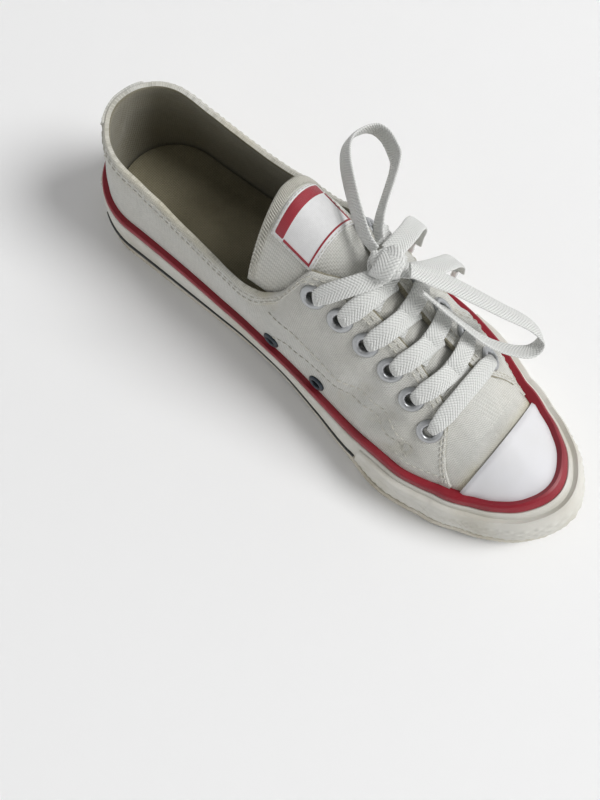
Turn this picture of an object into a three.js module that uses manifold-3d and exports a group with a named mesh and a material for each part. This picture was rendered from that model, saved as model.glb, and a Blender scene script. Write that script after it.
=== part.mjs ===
// A low canvas sneaker for the left foot, standing on its sole.
// Millimetres, +X to the toe, +Y to the outer side, +Z up. The medial side is at -Y.
// Every soft piece is a strip or a dome of one surface: the last, given by a table of half sections.
import * as THREE from "three";
import Module from "manifold-3d";

const wasm = await Module();
wasm.setup();

// Driving sizes of the last
const lastLength = 260;
const ballWidth = 77;
const instepHeight = 100;
const heelCentre = 28;
const toeReach = 44;
const toeCentre = lastLength - toeReach;

// Sole
const outsoleThick = 6.5;
const toeSpring = 8.5;
const springStart = 0.769 * lastLength;
const archLift = 1.6;
const archStart = 0.323 * lastLength;
const archEnd = 0.6 * lastLength;
const archEase = 0.1 * lastLength;
const outsoleStep = 0.6;
const grooveDepth = 2;
const grooveWidth = 3;
const groovePitch = 9;
const grooveRim = 10;
const heelTreadStart = 0.054 * lastLength;
const heelTreadEnd = 0.285 * lastLength;
const foreTreadStart = 0.623 * lastLength;
const foreTreadEnd = 0.877 * lastLength;

// Layers, measured out from the last
const gap = 0.3;
const vampThick = 1.3;
const quarterThick = 2.2;
const quarterInset = 0.45;
const capThick = 1.6;
const stayThick = 0.9;
const foxingThick = 3.2;
const stripeThick = 2.8;
const lineThick = 0.7;
const bumperThick = 2.5;
const plateThick = 1;
const insoleThick = 5;
const insoleGap = 1.1;
const tongueThick = 2.6;
const tongueGap = 1.1;
const labelThick = 0.7;
const labelInset = 5;
const labelLong = 21;
const labelHalf = 14;

// Heights above the floor line of the sole
const foxingTop = 25;
const stripeHeight = 3.6;
const lineLow = 8;
const lineHigh = 10.6;
const bumperLow = 7.4;
const bumperHigh = 22.5;
const plateLow = 7.5;
const plateHigh = 21;

// Plan places
const bumperStart = 0.6846 * lastLength;
const lineFront = 0.6423 * lastLength;
const capStart = toeCentre;
const capEdge = 0.8596 * lastLength;
const throatFront = 0.7615 * lastLength;
const wingEnd = capEdge - 3;
const lobeBack = 0.396 * lastLength;
const plateAngle = 30;
const lineAngle = 46;
const stayAngle = 30;

// Lacing
const eyeletCount = 6;
const firstEyelet = 0.4904 * lastLength;
const eyeletPitch = 0.0531 * lastLength;
const eyeletInset = 9.5;
const eyeletOuter = 5.4;
const eyeletHole = 2.6;
const eyeletHigh = 1.3;
const eyeletSides = 8;
const ventPlaces = [0.558 * lastLength, 0.45 * lastLength];
const ventRise = 5.4;
const ventHeight = foxingTop + stripeHeight + ventRise;
const ventOuter = 4.3;
const ventHole = 2.2;
const laceWidth = 9;
const laceThick = 1.6;
const laceLift = 0.9;
const laceStop = 2.2;
const barDip = 1.2;
const tipLong = 12;
const tipRadius = 1.6;
const knotLong = 8;
const knotWide = 7;
const knotHigh = 6.5;

const colour = {
  canvas: 0xdcdcd8,
  rubber: 0xe4e3de,
  cap: 0xe8e9ea,
  outsole: 0xd9d6cb,
  red: 0x8f1626,
  black: 0x1b1b1d,
  lace: 0xe6e7e8,
  metal: 0xa9abad,
  gun: 0x3a4046,
  insole: 0x8a8577,
};

const clamp = (value, low, high) => Math.min(high, Math.max(low, value));
const lerp = (a, b, t) => a + (b - a) * t;
const ease = (low, high, value) => {
  const t = clamp((value - low) / (high - low), 0, 1);
  return t * t * (3 - 2 * t);
};
const radians = (degrees) => (degrees * Math.PI) / 180;

// A place round the shoe is an arc length: round the heel, along the side, round the toe.
const heelArc = heelCentre * Math.PI * 0.5;
const toeArc = toeReach * Math.PI * 0.5;
const heel = (degrees) => heelCentre * radians(degrees);
const along = (x) => heelArc + x - heelCentre;
const toe = (degrees) => along(toeCentre) + toeReach * radians(degrees);
const lastPlace = heelArc + toeCentre - heelCentre + toeArc;

// Half sections of the last. Widths, lean and the medial arch's own lean are shares of the ball width,
// wall is a share of the instep height, and shoulder of the half width.
const share = (portion) => along(portion * lastLength);
const sections = [
  { at: heel(0), medial: 0.364, lateral: 0.364, wall: 0.3, lean: 0.04, arch: 0, shoulder: 0.72 },
  { at: heel(45), medial: 0.36, lateral: 0.36, wall: 0.31, lean: 0.03, arch: 0, shoulder: 0.66 },
  { at: heel(90), medial: 0.355, lateral: 0.355, wall: 0.33, lean: 0.015, arch: 0, shoulder: 0.6 },
  { at: share(0.23), medial: 0.355, lateral: 0.37, wall: 0.35, lean: 0.02, arch: 0.02, shoulder: 0.6 },
  { at: share(0.35), medial: 0.35, lateral: 0.395, wall: 0.36, lean: 0.03, arch: 0.07, shoulder: 0.64 },
  { at: share(0.46), medial: 0.365, lateral: 0.43, wall: 0.35, lean: 0.04, arch: 0.1, shoulder: 0.62 },
  { at: share(0.58), medial: 0.42, lateral: 0.47, wall: 0.3, lean: 0.035, arch: 0.05, shoulder: 0.6 },
  { at: share(0.68), medial: 0.472, lateral: 0.49, wall: 0.26, lean: 0.03, arch: 0, shoulder: 0.6 },
  { at: share(0.75), medial: 0.468, lateral: 0.472, wall: 0.24, lean: 0.025, arch: 0, shoulder: 0.62 },
  { at: share(0.8), medial: 0.43, lateral: 0.428, wall: 0.2, lean: 0.025, arch: 0, shoulder: 0.64 },
  { at: toe(0), medial: 0.396, lateral: 0.393, wall: 0.18, lean: 0.025, arch: 0, shoulder: 0.66 },
  { at: toe(25), medial: 0.379, lateral: 0.376, wall: 0.17, lean: 0.03, arch: 0, shoulder: 0.66 },
  { at: toe(50), medial: 0.43, lateral: 0.426, wall: 0.17, lean: 0.03, arch: 0, shoulder: 0.66 },
  { at: toe(70), medial: 0.51, lateral: 0.508, wall: 0.165, lean: 0.035, arch: 0, shoulder: 0.66 },
  { at: toe(90), medial: 0.571, lateral: 0.571, wall: 0.165, lean: 0.035, arch: 0, shoulder: 0.66 },
];

// Ridge of the last over the foot, as shares of the length and the instep height
const ridge = [
  { at: 0, height: 1.2 },
  { at: 0.11, height: 1.2 },
  { at: 0.23, height: 1.18 },
  { at: 0.35, height: 1.12 },
  { at: 0.46, height: 0.99 },
  { at: 0.58, height: 0.835 },
  { at: 0.68, height: 0.7 },
  { at: 0.75, height: 0.605 },
  { at: 0.83, height: 0.5 },
  { at: 0.92, height: 0.41 },
];

// Middle line of the last in plan, as shares of the length and the ball width
const middle = [
  { at: 0, y: 0 },
  { at: 0.25, y: 0.01 },
  { at: 0.45, y: 0.012 },
  { at: 0.65, y: -0.01 },
  { at: 0.85, y: -0.06 },
  { at: 1, y: -0.075 },
];

// Top line of the collar, height as a share of the instep height
const collar = [
  { at: heel(0), height: 0.73 },
  { at: heel(50), height: 0.715 },
  { at: share(0.15), height: 0.655 },
  { at: share(0.25), height: 0.6 },
  { at: share(0.33), height: 0.585 },
  { at: share(0.4), height: 0.62 },
  { at: share(0.44), height: 0.73 },
  { at: share(0.47), height: 0.9 },
];

// Half the opening between the facings, as shares of the length and the ball width
const opening = [
  { at: 0.42, half: 0.12 },
  { at: 0.49, half: 0.1 },
  { at: 0.58, half: 0.085 },
  { at: 0.65, half: 0.08 },
  { at: 0.7, half: 0.095 },
  { at: 0.757, half: 0.13 },
  { at: 0.78, half: 0.2 },
];

// Value of a named column, on a smooth curve that never overshoots its rows
function column(rows, name, at) {
  const last = rows.length - 1;
  if (at <= rows[0].at) return rows[0][name];
  if (at >= rows[last].at) return rows[last][name];
  let k = 0;
  while (rows[k + 1].at < at) k++;
  const rise = (i) => (rows[i + 1][name] - rows[i][name]) / (rows[i + 1].at - rows[i].at);
  const tangent = (i) => {
    if (i === 0 || i === last) return 0;
    const before = rise(i - 1);
    const after = rise(i);
    return before * after <= 0 ? 0 : (2 * before * after) / (before + after);
  };
  const span = rows[k + 1].at - rows[k].at;
  const t = (at - rows[k].at) / span;
  const blend = t * t * (3 - 2 * t);
  return (
    lerp(rows[k][name], rows[k + 1][name], blend) +
    span * t * (1 - t) * ((1 - t) * tangent(k) - t * tangent(k + 1))
  );
}

// Height of the underside of the sole
function floorAt(x) {
  const rise = ease(archStart, archStart + archEase, x) * (1 - ease(archEnd - archEase, archEnd, x));
  const arch = archLift * rise;
  const forward = Math.max(0, x - springStart) / (lastLength - springStart);
  return arch + toeSpring * Math.pow(forward, 1.8);
}
const middleAt = (x) => column(middle, "y", x / lastLength) * ballWidth;
const crestAt = (x) => column(ridge, "height", x / lastLength) * instepHeight;
const crestSlope = (x) => crestAt(x + 0.5) - crestAt(x - 0.5);

// Where a half section stands: its foot on the middle line and its direction in plan
function stand(side, at) {
  if (at < heelArc) {
    const angle = (1 - at / heelArc) * Math.PI * 0.5;
    return { x: heelCentre, dx: -Math.sin(angle), dy: side * Math.cos(angle) };
  }
  const x = at - heelArc + heelCentre;
  if (x <= toeCentre) return { x, dx: 0, dy: side };
  const angle = Math.min((x - toeCentre) / toeArc, 1) * Math.PI * 0.5;
  return { x: toeCentre, dx: Math.sin(angle), dy: side * Math.cos(angle) };
}

// Point of the last: v runs from the sole's edge, 0, up the wall to the middle line, 1
function last(side, at, v) {
  const place = stand(side, at);
  const half = column(sections, side < 0 ? "medial" : "lateral", at) * ballWidth;
  const crest = crestAt(place.x);
  const arch = side < 0 ? column(sections, "arch", at) : 0;
  const lean = (column(sections, "lean", at) + arch) * ballWidth;
  const wall = column(sections, "wall", at) * instepHeight;
  const shoulder = column(sections, "shoulder", at) * half;
  const foot = floorAt(place.x + place.dx * half) + outsoleThick + gap;
  const u = 1 - v;
  const bend = [u * u * u, 3 * u * u * v, 3 * u * v * v, v * v * v];
  const reach = bend[0] * half + bend[1] * (half + lean) + bend[2] * shoulder;
  const brow = crest + crestSlope(place.x) * shoulder * place.dx;
  const z = bend[0] * foot + bend[1] * (foot + wall) + bend[2] * brow + bend[3] * crest;
  return new THREE.Vector3(
    place.x + place.dx * reach,
    middleAt(place.x) + place.dy * reach,
    z,
  );
}

// Point at a distance out from the last, along its normal. The normal lies level at the sole's edge.
function skin(side, at, v, out) {
  const point = last(side, at, v);
  const place = stand(side, at);
  const normal = new THREE.Vector3();
  if (v > 0.999) {
    normal.set(-crestSlope(place.x), 0, 1);
  } else {
    const step = 0.02;
    const way = last(side, Math.min(at + step, lastPlace), v).sub(last(side, Math.max(at - step, 0), v));
    if (at < step || at > lastPlace - step) way.set(0, side, 0);
    const up = last(side, at, Math.min(v + step, 1)).sub(last(side, at, Math.max(v - step, 0)));
    normal.crossVectors(way, up);
    normal.z *= ease(0, 0.12, v);
    if (normal.x * place.dx + normal.y * place.dy + normal.z < 0) normal.negate();
  }
  return point.addScaledVector(normal.normalize(), out);
}

// Share v of a half section where a rising measure first reaches a value
function seek(measure, value) {
  let low = 0;
  let high = 1;
  for (let i = 0; i < 30; i++) {
    const mid = (low + high) / 2;
    if (measure(mid) < value) low = mid;
    else high = mid;
  }
  return (low + high) / 2;
}
const shareAtHeight = (side, at, height) => {
  const rise = (v) => {
    const point = last(side, at, v);
    return point.z - floorAt(point.x);
  };
  return seek(rise, height);
};
const shareAtLevel = (side, at, z) => seek((v) => last(side, at, v).z, z);
const shareAtReach = (side, at, half) => {
  const x = at - heelArc + heelCentre;
  return seek((v) => -Math.abs(last(side, at, v).y - middleAt(x)), -half);
};

// Upper edge of the quarter: collar line, rounded lobe, facing edge, then the wing to the toe cap
function quarterEdge(side, at) {
  const x = at - heelArc + heelCentre;
  const level = column(collar, "height", at) * instepHeight;
  const onCollar = shareAtLevel(side, at, level);
  if (x < lobeBack) return onCollar;
  const half = column(opening, "half", Math.min(x, throatFront) / lastLength) * ballWidth;
  const onFacing = shareAtReach(side, at, half);
  const round = 0.03;
  const open = clamp(0.5 + (onCollar - onFacing) / (2 * round), 0, 1);
  const edge = lerp(onCollar, onFacing, open) - round * open * (1 - open);
  const low = shareAtHeight(side, at, foxingTop + stripeHeight + 1.5);
  const wing = ease(throatFront - 2, wingEnd + 2, x);
  return x < throatFront ? Math.min(edge, 1) : lerp(edge, low, wing);
}

// A closed mesh from triangles of points, with shared corners joined
function geometryOf(triangles) {
  const seen = new Map();
  const spots = [];
  const faces = [];
  const number = (p) => {
    const key = [p.x, p.y, p.z].map((value) => Math.round(value * 2000)).join();
    if (!seen.has(key)) {
      seen.set(key, spots.length / 3);
      spots.push(p.x, p.y, p.z);
    }
    return seen.get(key);
  };
  let volume = 0;
  for (const [a, b, c] of triangles) {
    const [i, j, k] = [number(a), number(b), number(c)];
    if (i === j || j === k || i === k) continue;
    faces.push(i, j, k);
    volume += a.dot(b.clone().cross(c));
  }
  if (volume < 0) faces.reverse();
  const geometry = new THREE.BufferGeometry();
  geometry.setAttribute("position", new THREE.BufferAttribute(new Float32Array(spots), 3));
  geometry.setIndex(faces);
  return geometry;
}

// A skin with two faces over a grid of cells. grid[i][j] is { out, in }. A wall closes each side of a
// cell that has no neighbour, save the top row of a dome, whose two halves meet on the middle line.
function shell(grid, { ring = false, dome = false, present = () => true } = {}) {
  const triangles = [];
  const columns = ring ? grid.length : grid.length - 1;
  const rows = grid[0].length - 1;
  const quad = (a, b, c, d) => triangles.push([a, b, c], [a, c, d]);
  const has = (i, j) => {
    if (j < 0 || j >= rows) return false;
    if (ring) return present((i + columns) % columns, j);
    return i >= 0 && i < columns && present(i, j);
  };
  for (let i = 0; i < columns; i++) {
    const next = (i + 1) % grid.length;
    for (let j = 0; j < rows; j++) {
      if (!has(i, j)) continue;
      const [a, b, c, d] = [grid[i][j], grid[next][j], grid[next][j + 1], grid[i][j + 1]];
      quad(a.out, b.out, c.out, d.out);
      quad(a.in, d.in, c.in, b.in);
      if (!has(i, j - 1)) quad(a.out, a.in, b.in, b.out);
      if (!has(i, j + 1) && !(dome && j === rows - 1)) quad(c.out, c.in, d.in, d.out);
      if (!has(i - 1, j)) quad(a.out, d.out, d.in, a.in);
      if (!has(i + 1, j)) quad(b.out, b.in, c.in, c.out);
    }
  }
  return geometryOf(triangles);
}

// Boolean work on closed meshes
const toSolid = (geometry) =>
  new wasm.Manifold(
    new wasm.Mesh({
      numProp: 3,
      vertProperties: new Float32Array(geometry.getAttribute("position").array),
      triVerts: new Uint32Array(geometry.index.array),
    }),
  );
function fromSolid(solid) {
  const mesh = solid.getMesh();
  const geometry = new THREE.BufferGeometry();
  geometry.setAttribute("position", new THREE.BufferAttribute(mesh.vertProperties, 3));
  geometry.setIndex(new THREE.BufferAttribute(mesh.triVerts, 1));
  return geometry;
}
function closed(geometry) {
  const flat = geometry.index ? geometry.toNonIndexed() : geometry;
  const position = flat.getAttribute("position");
  const triangles = [];
  for (let i = 0; i < position.count; i += 3) {
    triangles.push([0, 1, 2].map((k) => new THREE.Vector3().fromBufferAttribute(position, i + k)));
  }
  return geometryOf(triangles);
}

// Shared stations round one side, so that pieces that lie on each other have the same facets.
// The upper has some of its own between them, for its lobe and its wings.
const heelStations = [0, 18, 36, 54, 72].map(heel);
const wingPlace = (part) => throatFront + (wingEnd - throatFront) * part;
const sideShares = [0.165, 0.223, 0.285, 0.346, 0.408, 0.458, 0.508, 0.558, 0.604, 0.723];
const namedPlaces = [heelCentre, lineFront, bumperStart, throatFront, wingPlace(0.36)];
const sidePlaces = [...namedPlaces, ...sideShares.map((part) => part * lastLength)];
const sideStations = sidePlaces.map(along).sort((a, b) => a - b);
const toeStations = [0, 14, 28, 40, 51, 61, 71, 81, 90].map(toe);
const stations = [...heelStations, ...sideStations, ...toeStations];
const lobePlaces = [0.377, 0.427, 0.442, 0.481].map((part) => part * lastLength);
const wingPlaces = [0.1, 0.22, 0.62, 1].map(wingPlace);
const ownStations = [...lobePlaces, ...wingPlaces].map(along);
const upperStations = [...stations, ...ownStations].sort((a, b) => a - b);

// Places round the shoe in order, as pairs of side and station
const roundOf = (list) => [
  ...list.map((at) => [-1, at]),
  ...list.slice(1, -1).reverse().map((at) => [1, at]),
];
const behind = (limit, list = stations) => [
  ...list.filter((at) => at <= limit + 0.01).reverse().map((at) => [1, at]),
  ...list.filter((at) => at > 0 && at <= limit + 0.01).map((at) => [-1, at]),
];
const ahead = (limit) => [
  ...stations.filter((at) => at >= limit - 0.01).map((at) => [-1, at]),
  ...stations.filter((at) => at >= limit - 0.01 && at < lastPlace - 0.01).reverse().map((at) => [1, at]),
];
const ringPlaces = roundOf(stations);
const upperPlaces = roundOf(upperStations);

// How far out the layers under the foxing reach
const capOuter = vampThick + gap + capThick;
const stackAt = (at) =>
  lerp(quarterThick, capOuter, ease(along(capStart) - 14, along(capStart), at)) + gap;
const foxingOuter = (at) => stackAt(at) + foxingThick;

// A band round the shoe between two heights, with its inner and outer faces
function band(places, heights, inner, outer, options) {
  const grid = places.map(([side, at]) =>
    heights.map((height) => {
      const v = shareAtHeight(side, at, height);
      return { out: skin(side, at, v, outer(at)), in: skin(side, at, v, inner(at)) };
    }),
  );
  return shell(grid, options);
}

const shoe = new THREE.Group();
function add(name, geometry, hue, roughness = 0.8, metalness = 0) {
  const material = new THREE.MeshStandardMaterial({ color: hue, roughness, metalness });
  const mesh = new THREE.Mesh(geometry, material);
  mesh.name = name;
  shoe.add(mesh);
  return mesh;
}

// Upper: a lasted base of canvas, and the two quarters laid over it as a step in the wall
const wallRows = [outsoleThick + gap, 16, foxingTop, foxingTop + stripeHeight + 0.8];
const sideRows = 4;
const crownRows = 2;
const crownLine = 0.8;
function upperRows(side, at) {
  const x = at - heelArc + heelCentre;
  const low = wallRows.map((height, i) => (i === 0 ? 0 : shareAtHeight(side, at, height)));
  const top = x < throatFront ? quarterEdge(side, at) : crownLine;
  const start = low[low.length - 1];
  const body = [];
  for (let i = 1; i <= sideRows; i++) body.push(lerp(start, top, i / sideRows));
  for (let i = 1; i <= crownRows; i++) body.push(lerp(top, 1, i / crownRows));
  return [...low, ...body];
}
function layer(places, rows, inner, outer, options) {
  const grid = places.map(([side, at]) =>
    rows(side, at).map((v) => ({ out: skin(side, at, v, outer), in: skin(side, at, v, inner) })),
  );
  return shell(grid, options);
}
function lastedBase() {
  const lastRow = wallRows.length - 1 + sideRows;
  const isVamp = (i) => {
    const next = upperPlaces[(i + 1) % upperPlaces.length];
    return Math.min(upperPlaces[i][1], next[1]) >= along(throatFront) - 0.01;
  };
  return layer(upperPlaces, upperRows, 0, vampThick, {
    ring: true,
    dome: true,
    present: (i, j) => j < lastRow || isVamp(i),
  });
}
function quarters() {
  const rows = (side, at) => {
    const low = wallRows.map((height, i) => (i === 0 ? 0 : shareAtHeight(side, at, height)));
    const start = low[low.length - 1];
    const top = Math.max(quarterEdge(side, at) - 0.004, start + 0.01);
    const body = [];
    for (let i = 1; i <= sideRows; i++) body.push(lerp(start, top, i / sideRows));
    return [...low, ...body];
  };
  return layer(behind(along(wingEnd), upperStations), rows, quarterInset, quarterThick);
}

// Where the eyelets sit on the facings
const eyeletX = (row) => firstEyelet + row * eyeletPitch;
function facingSpot(side, x, inset) {
  const at = along(x);
  const half = column(opening, "half", Math.min(x, throatFront) / lastLength) * ballWidth;
  return { side, at, v: shareAtReach(side, at, half + inset) };
}
const laceSpots = [];
for (let row = 0; row < eyeletCount; row++) {
  for (const side of [-1, 1]) laceSpots.push(facingSpot(side, eyeletX(row), eyeletInset));
}
const ventSpots = ventPlaces.map((x) => {
  const at = along(x);
  return { side: -1, at, v: shareAtHeight(-1, at, ventHeight) };
});

// A turned ring that stands on the quarter, with its axis along the quarter's normal
function turned(spot, profile, out) {
  const geometry = new THREE.LatheGeometry(profile.map(([r, y]) => new THREE.Vector2(r, y)), eyeletSides);
  const base = skin(spot.side, spot.at, spot.v, out);
  const axis = skin(spot.side, spot.at, spot.v, out + 1).sub(base).normalize();
  const turn = new THREE.Quaternion().setFromUnitVectors(new THREE.Vector3(0, 1, 0), axis);
  geometry.applyMatrix4(new THREE.Matrix4().compose(base, turn, new THREE.Vector3(1, 1, 1)));
  return closed(geometry);
}
const ringProfile = (outer, hole, high) => [
  [hole, 0],
  [outer, 0],
  [outer - 0.9, high * 0.9],
  [hole + 0.8, high],
  [hole, 0],
];
const drill = (radius) => [
  [0, -3],
  [radius, -3],
  [radius, 3],
  [0, 3],
];

function upperSolid() {
  let body = toSolid(lastedBase()).add(toSolid(quarters()));
  for (const spot of laceSpots) body = body.subtract(toSolid(turned(spot, drill(eyeletHole), 1)));
  for (const spot of ventSpots) body = body.subtract(toSolid(turned(spot, drill(ventHole), 1)));
  return fromSolid(body);
}
add("upper", upperSolid(), colour.canvas, 0.95);

// Toe cap on the vamp, with the vamp's own facets and a straight rear edge
const capGeometry = layer(ahead(along(capStart)), upperRows, vampThick + gap, capOuter, { dome: true });
const capSolid = toSolid(capGeometry).trimByPlane([1, 0, 0], capEdge);
add("toe_cap", fromSolid(capSolid), colour.cap, 0.45);

// Back stay over the heel seam
function heelStay() {
  const places = [
    [1, heel(stayAngle)],
    [1, heel(18)],
    [-1, 0],
    [-1, heel(18)],
    [-1, heel(stayAngle)],
  ];
  const rows = (side, at) => {
    const low = shareAtHeight(side, at, foxingTop + stripeHeight + 0.8);
    const top = quarterEdge(side, at) - 0.005;
    return [0, 1, 2, 3, 4].map((i) => lerp(low, top, i / 4));
  };
  return layer(places, rows, quarterThick + gap, quarterThick + gap + stayThick);
}
add("heel_stay", heelStay(), colour.canvas, 0.95);

// Rubber bands round the sole
const foxingRows = [outsoleThick + gap, 16, foxingTop];
add("foxing", band(ringPlaces, foxingRows, stackAt, foxingOuter, { ring: true }), colour.rubber, 0.6);
const stripeRows = [foxingTop + gap, foxingTop + stripeHeight];
const stripeOuter = (at) => stackAt(at) + stripeThick;
add("red_stripe", band(ringPlaces, stripeRows, stackAt, stripeOuter, { ring: true }), colour.red, 0.5);

const bumperPlaces = ahead(along(bumperStart));
const bumperFace = (at) => {
  const end = ease(along(bumperStart) - 1, along(bumperStart) + 14, at);
  return foxingOuter(at) + gap + lerp(1.2, bumperThick, end);
};
const bumperRows = [bumperLow, 16, bumperHigh];
const onFoxing = (at) => foxingOuter(at) + gap;
add("toe_bumper", band(bumperPlaces, bumperRows, onFoxing, bumperFace), colour.rubber, 0.65);

const linePlaces = behind(along(lineFront)).filter(([, at]) => at > heel(lineAngle));
const lineFace = (at) => foxingOuter(at) + gap + lineThick;
for (const [name, side] of [["black_stripe_medial", -1], ["black_stripe_lateral", 1]]) {
  const places = linePlaces.filter((place) => place[0] === side);
  add(name, band(places, [lineLow, lineHigh], onFoxing, lineFace), colour.black, 0.5);
}
const platePlaces = behind(heel(plateAngle));
const plateFace = (at) => foxingOuter(at) + gap + plateThick;
add("heel_plate", band(platePlaces, [plateLow, plateHigh], onFoxing, plateFace), colour.rubber, 0.6);

// Plate whose outline follows the last, closed on the middle line. Its inner rings lie under the
// feet of the pieces that stand on it.
function plate(reaches, top, bottom, rings = 1) {
  const grid = ringPlaces.map(([side, at]) => {
    const place = stand(side, at);
    const centre = new THREE.Vector3(place.x, middleAt(place.x), 0);
    const spots = reaches(side, at);
    const edge = spots[spots.length - 1];
    for (let i = 1; i <= rings; i++) spots.push(edge.clone().lerp(centre, i / rings));
    return spots.map((spot, i) => {
      const [high, low] = [spot.clone(), spot.clone()];
      const x = Math.min(spot.x, last(side, at, 0).x);
      high.z = top(x, i);
      low.z = bottom(x, i);
      return { out: high, in: low };
    });
  });
  return shell(grid, { ring: true, dome: true });
}
const soleRim = (side, at) => {
  const front = ease(along(bumperStart) - 8, along(bumperStart) + 14, at);
  const reach = foxingOuter(at) + outsoleStep + front * (gap + bumperThick);
  return skin(side, at, 0, reach);
};
function outsole() {
  const reaches = (side, at) => [soleRim(side, at), skin(side, at, 0, stackAt(at)), last(side, at, 0)];
  const body = plate(reaches, (x) => floorAt(x) + outsoleThick, (x) => floorAt(x));
  let cut = toSolid(body);
  const groove = (x) => {
    const at = along(x);
    const low = soleRim(-1, at).y + grooveRim;
    const high = soleRim(1, at).y - grooveRim;
    const box = new THREE.BoxGeometry(grooveWidth, high - low, grooveDepth * 2);
    box.translate(x, (low + high) / 2, floorAt(x));
    cut = cut.subtract(toSolid(closed(box)));
  };
  for (let x = heelTreadStart; x < heelTreadEnd; x += groovePitch) groove(x);
  for (let x = foreTreadStart; x < foreTreadEnd; x += groovePitch) groove(x);
  return fromSolid(cut);
}
add("outsole", outsole(), colour.outsole, 0.75);

const insoleRim = (side, at) => [skin(side, at, 0, -insoleGap)];
const insoleTop = (x, ring) => floorAt(x) + outsoleThick + gap + insoleThick + (ring === 0 ? 1.2 : 0);
const insoleGeometry = plate(insoleRim, insoleTop, (x) => floorAt(x) + outsoleThick + gap);
add("insole", insoleGeometry, colour.insole, 0.95);

// Tongue: a curved sheet under the facings, from below the vamp to above the lobes
const tongueBack = 0.3692 * lastLength;
const tongueFront = 0.7846 * lastLength;
const tongueRows = [
  { at: 0, half: 0.338 },
  { at: 0.3, half: 0.338 },
  { at: 0.75, half: 0.312 },
  { at: 1, half: 0.247 },
];
// Point over the foot at a plan place, measured out from the last
function over(x, y, out) {
  const side = y < 0 ? -1 : 1;
  const at = along(x);
  const v = Math.abs(y) < 0.01 ? 1 : shareAtReach(side, at, Math.abs(y));
  return skin(side, at, v, out);
}
function sheet(backX, frontX, steps, across, halfAt, low, high) {
  const grid = [];
  for (let i = 0; i <= steps; i++) {
    const portion = i / steps;
    const x = lerp(backX, frontX, portion);
    const row = [];
    for (let j = 0; j <= across; j++) {
      const y = lerp(-1, 1, j / across) * halfAt(portion);
      row.push({ out: over(x, y, high), in: over(x, y, low) });
    }
    grid.push(row);
  }
  return shell(grid);
}
const tongueHalf = (portion) => column(tongueRows, "half", portion) * ballWidth;
const tongueGeometry = sheet(tongueBack, tongueFront, 9, 6, tongueHalf, -tongueGap - tongueThick, -tongueGap);
add("tongue", tongueGeometry, colour.canvas, 0.95);
const labelBack = tongueBack + labelInset;
const labelBase = -tongueGap + gap + 0.25;
add(
  "tongue_label",
  sheet(labelBack, labelBack + labelLong, 2, 4, () => labelHalf, labelBase, labelBase + labelThick),
  colour.lace,
  0.9,
);

// Eyelets
for (let row = 0; row < eyeletCount; row++) {
  for (const [side, word] of [[-1, "medial"], [1, "lateral"]]) {
    const spot = facingSpot(side, eyeletX(row), eyeletInset);
    const ring = turned(spot, ringProfile(eyeletOuter, eyeletHole, eyeletHigh), quarterThick + gap);
    add(`eyelet_${word}_${row + 1}`, ring, colour.metal, 0.35, 0.9);
  }
}
ventSpots.forEach((spot, i) => {
  const ring = turned(spot, ringProfile(ventOuter, ventHole, 0.9), quarterThick + gap);
  add(`vent_eyelet_${i + 1}`, ring, colour.gun, 0.4, 0.8);
});

// Flat lace: each stop has its centre, the way across the lace and its width
const roundCorners = [[-1, 0], [-0.72, -1], [0.72, -1], [1, 0], [0.72, 1], [-0.72, 1]];
const squareCorners = [[-1, -1], [1, -1], [1, 1], [-1, 1]];
function ribbon(stops, thick, corners = roundCorners) {
  const end = stops.length - 1;
  const rings = stops.map(({ spot, across, width }, i) => {
    const way = stops[Math.min(i + 1, end)].spot.clone().sub(stops[Math.max(i - 1, 0)].spot).normalize();
    const side = across.clone().addScaledVector(way, -across.dot(way)).normalize();
    const up = way.clone().cross(side);
    return corners.map(([a, b]) =>
      spot.clone().addScaledVector(side, (a * width) / 2).addScaledVector(up, (b * thick) / 2),
    );
  });
  const triangles = [];
  for (let i = 0; i < end; i++) {
    corners.forEach((corner, k) => {
      const next = (k + 1) % corners.length;
      triangles.push([rings[i][k], rings[i][next], rings[i + 1][next]]);
      triangles.push([rings[i][k], rings[i + 1][next], rings[i + 1][k]]);
    });
  }
  for (let k = 1; k < corners.length - 1; k++) {
    triangles.push([rings[0][0], rings[0][k + 1], rings[0][k]]);
    triangles.push([rings[end][0], rings[end][k], rings[end][k + 1]]);
  }
  return geometryOf(triangles);
}

// A strand over the foot from one plan place to another. rise(t) is how far out its centre runs.
const halfOpening = (x) => column(opening, "half", Math.min(x, throatFront) / lastLength) * ballWidth;
function strand(from, to, steps, rise) {
  const stops = [];
  for (let i = 0; i <= steps; i++) {
    const t = i / steps;
    const [x, y] = [lerp(from.x, to.x, t), lerp(from.y, to.y, t)];
    const spot = over(x, y, rise(t));
    const normal = over(x, y, rise(t) + 1).sub(spot);
    const way = new THREE.Vector3(to.x - from.x, to.y - from.y, 0);
    const width = lerp(laceWidth * 0.6, laceWidth, ease(0, 0.25, t));
    stops.push({ spot, across: normal.cross(way), width });
  }
  return stops;
}
const onEyelet = quarterThick + gap + eyeletHigh + laceLift + laceThick / 2;
const onTongue = -tongueGap + gap + laceThick / 2 + 0.5;
const eyeletAt = (side, row) => ({ x: eyeletX(row), y: side * (halfOpening(eyeletX(row)) + eyeletInset) });
function crossing(row) {
  const solids = [-1, 1].map((side) => {
    const from = eyeletAt(side, row);
    const x = from.x + eyeletPitch * 0.55;
    const to = { x, y: -side * (halfOpening(x) - laceStop) };
    const under = (t) => (side < 0 ? 0 : 0.9 * ease(0.55, 0.72, t) * (1 - ease(0.84, 1, t)));
    const stops = strand(from, to, 8, (t) => lerp(onEyelet, onTongue, ease(0.3, 0.95, t)) - under(t));
    stops[6].width = laceWidth * 0.85;
    stops[7].width = laceWidth * 0.6;
    stops[8].width = laceWidth * 0.35;
    return toSolid(ribbon(stops, laceThick));
  });
  return fromSolid(solids[0].add(solids[1]));
}
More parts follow.
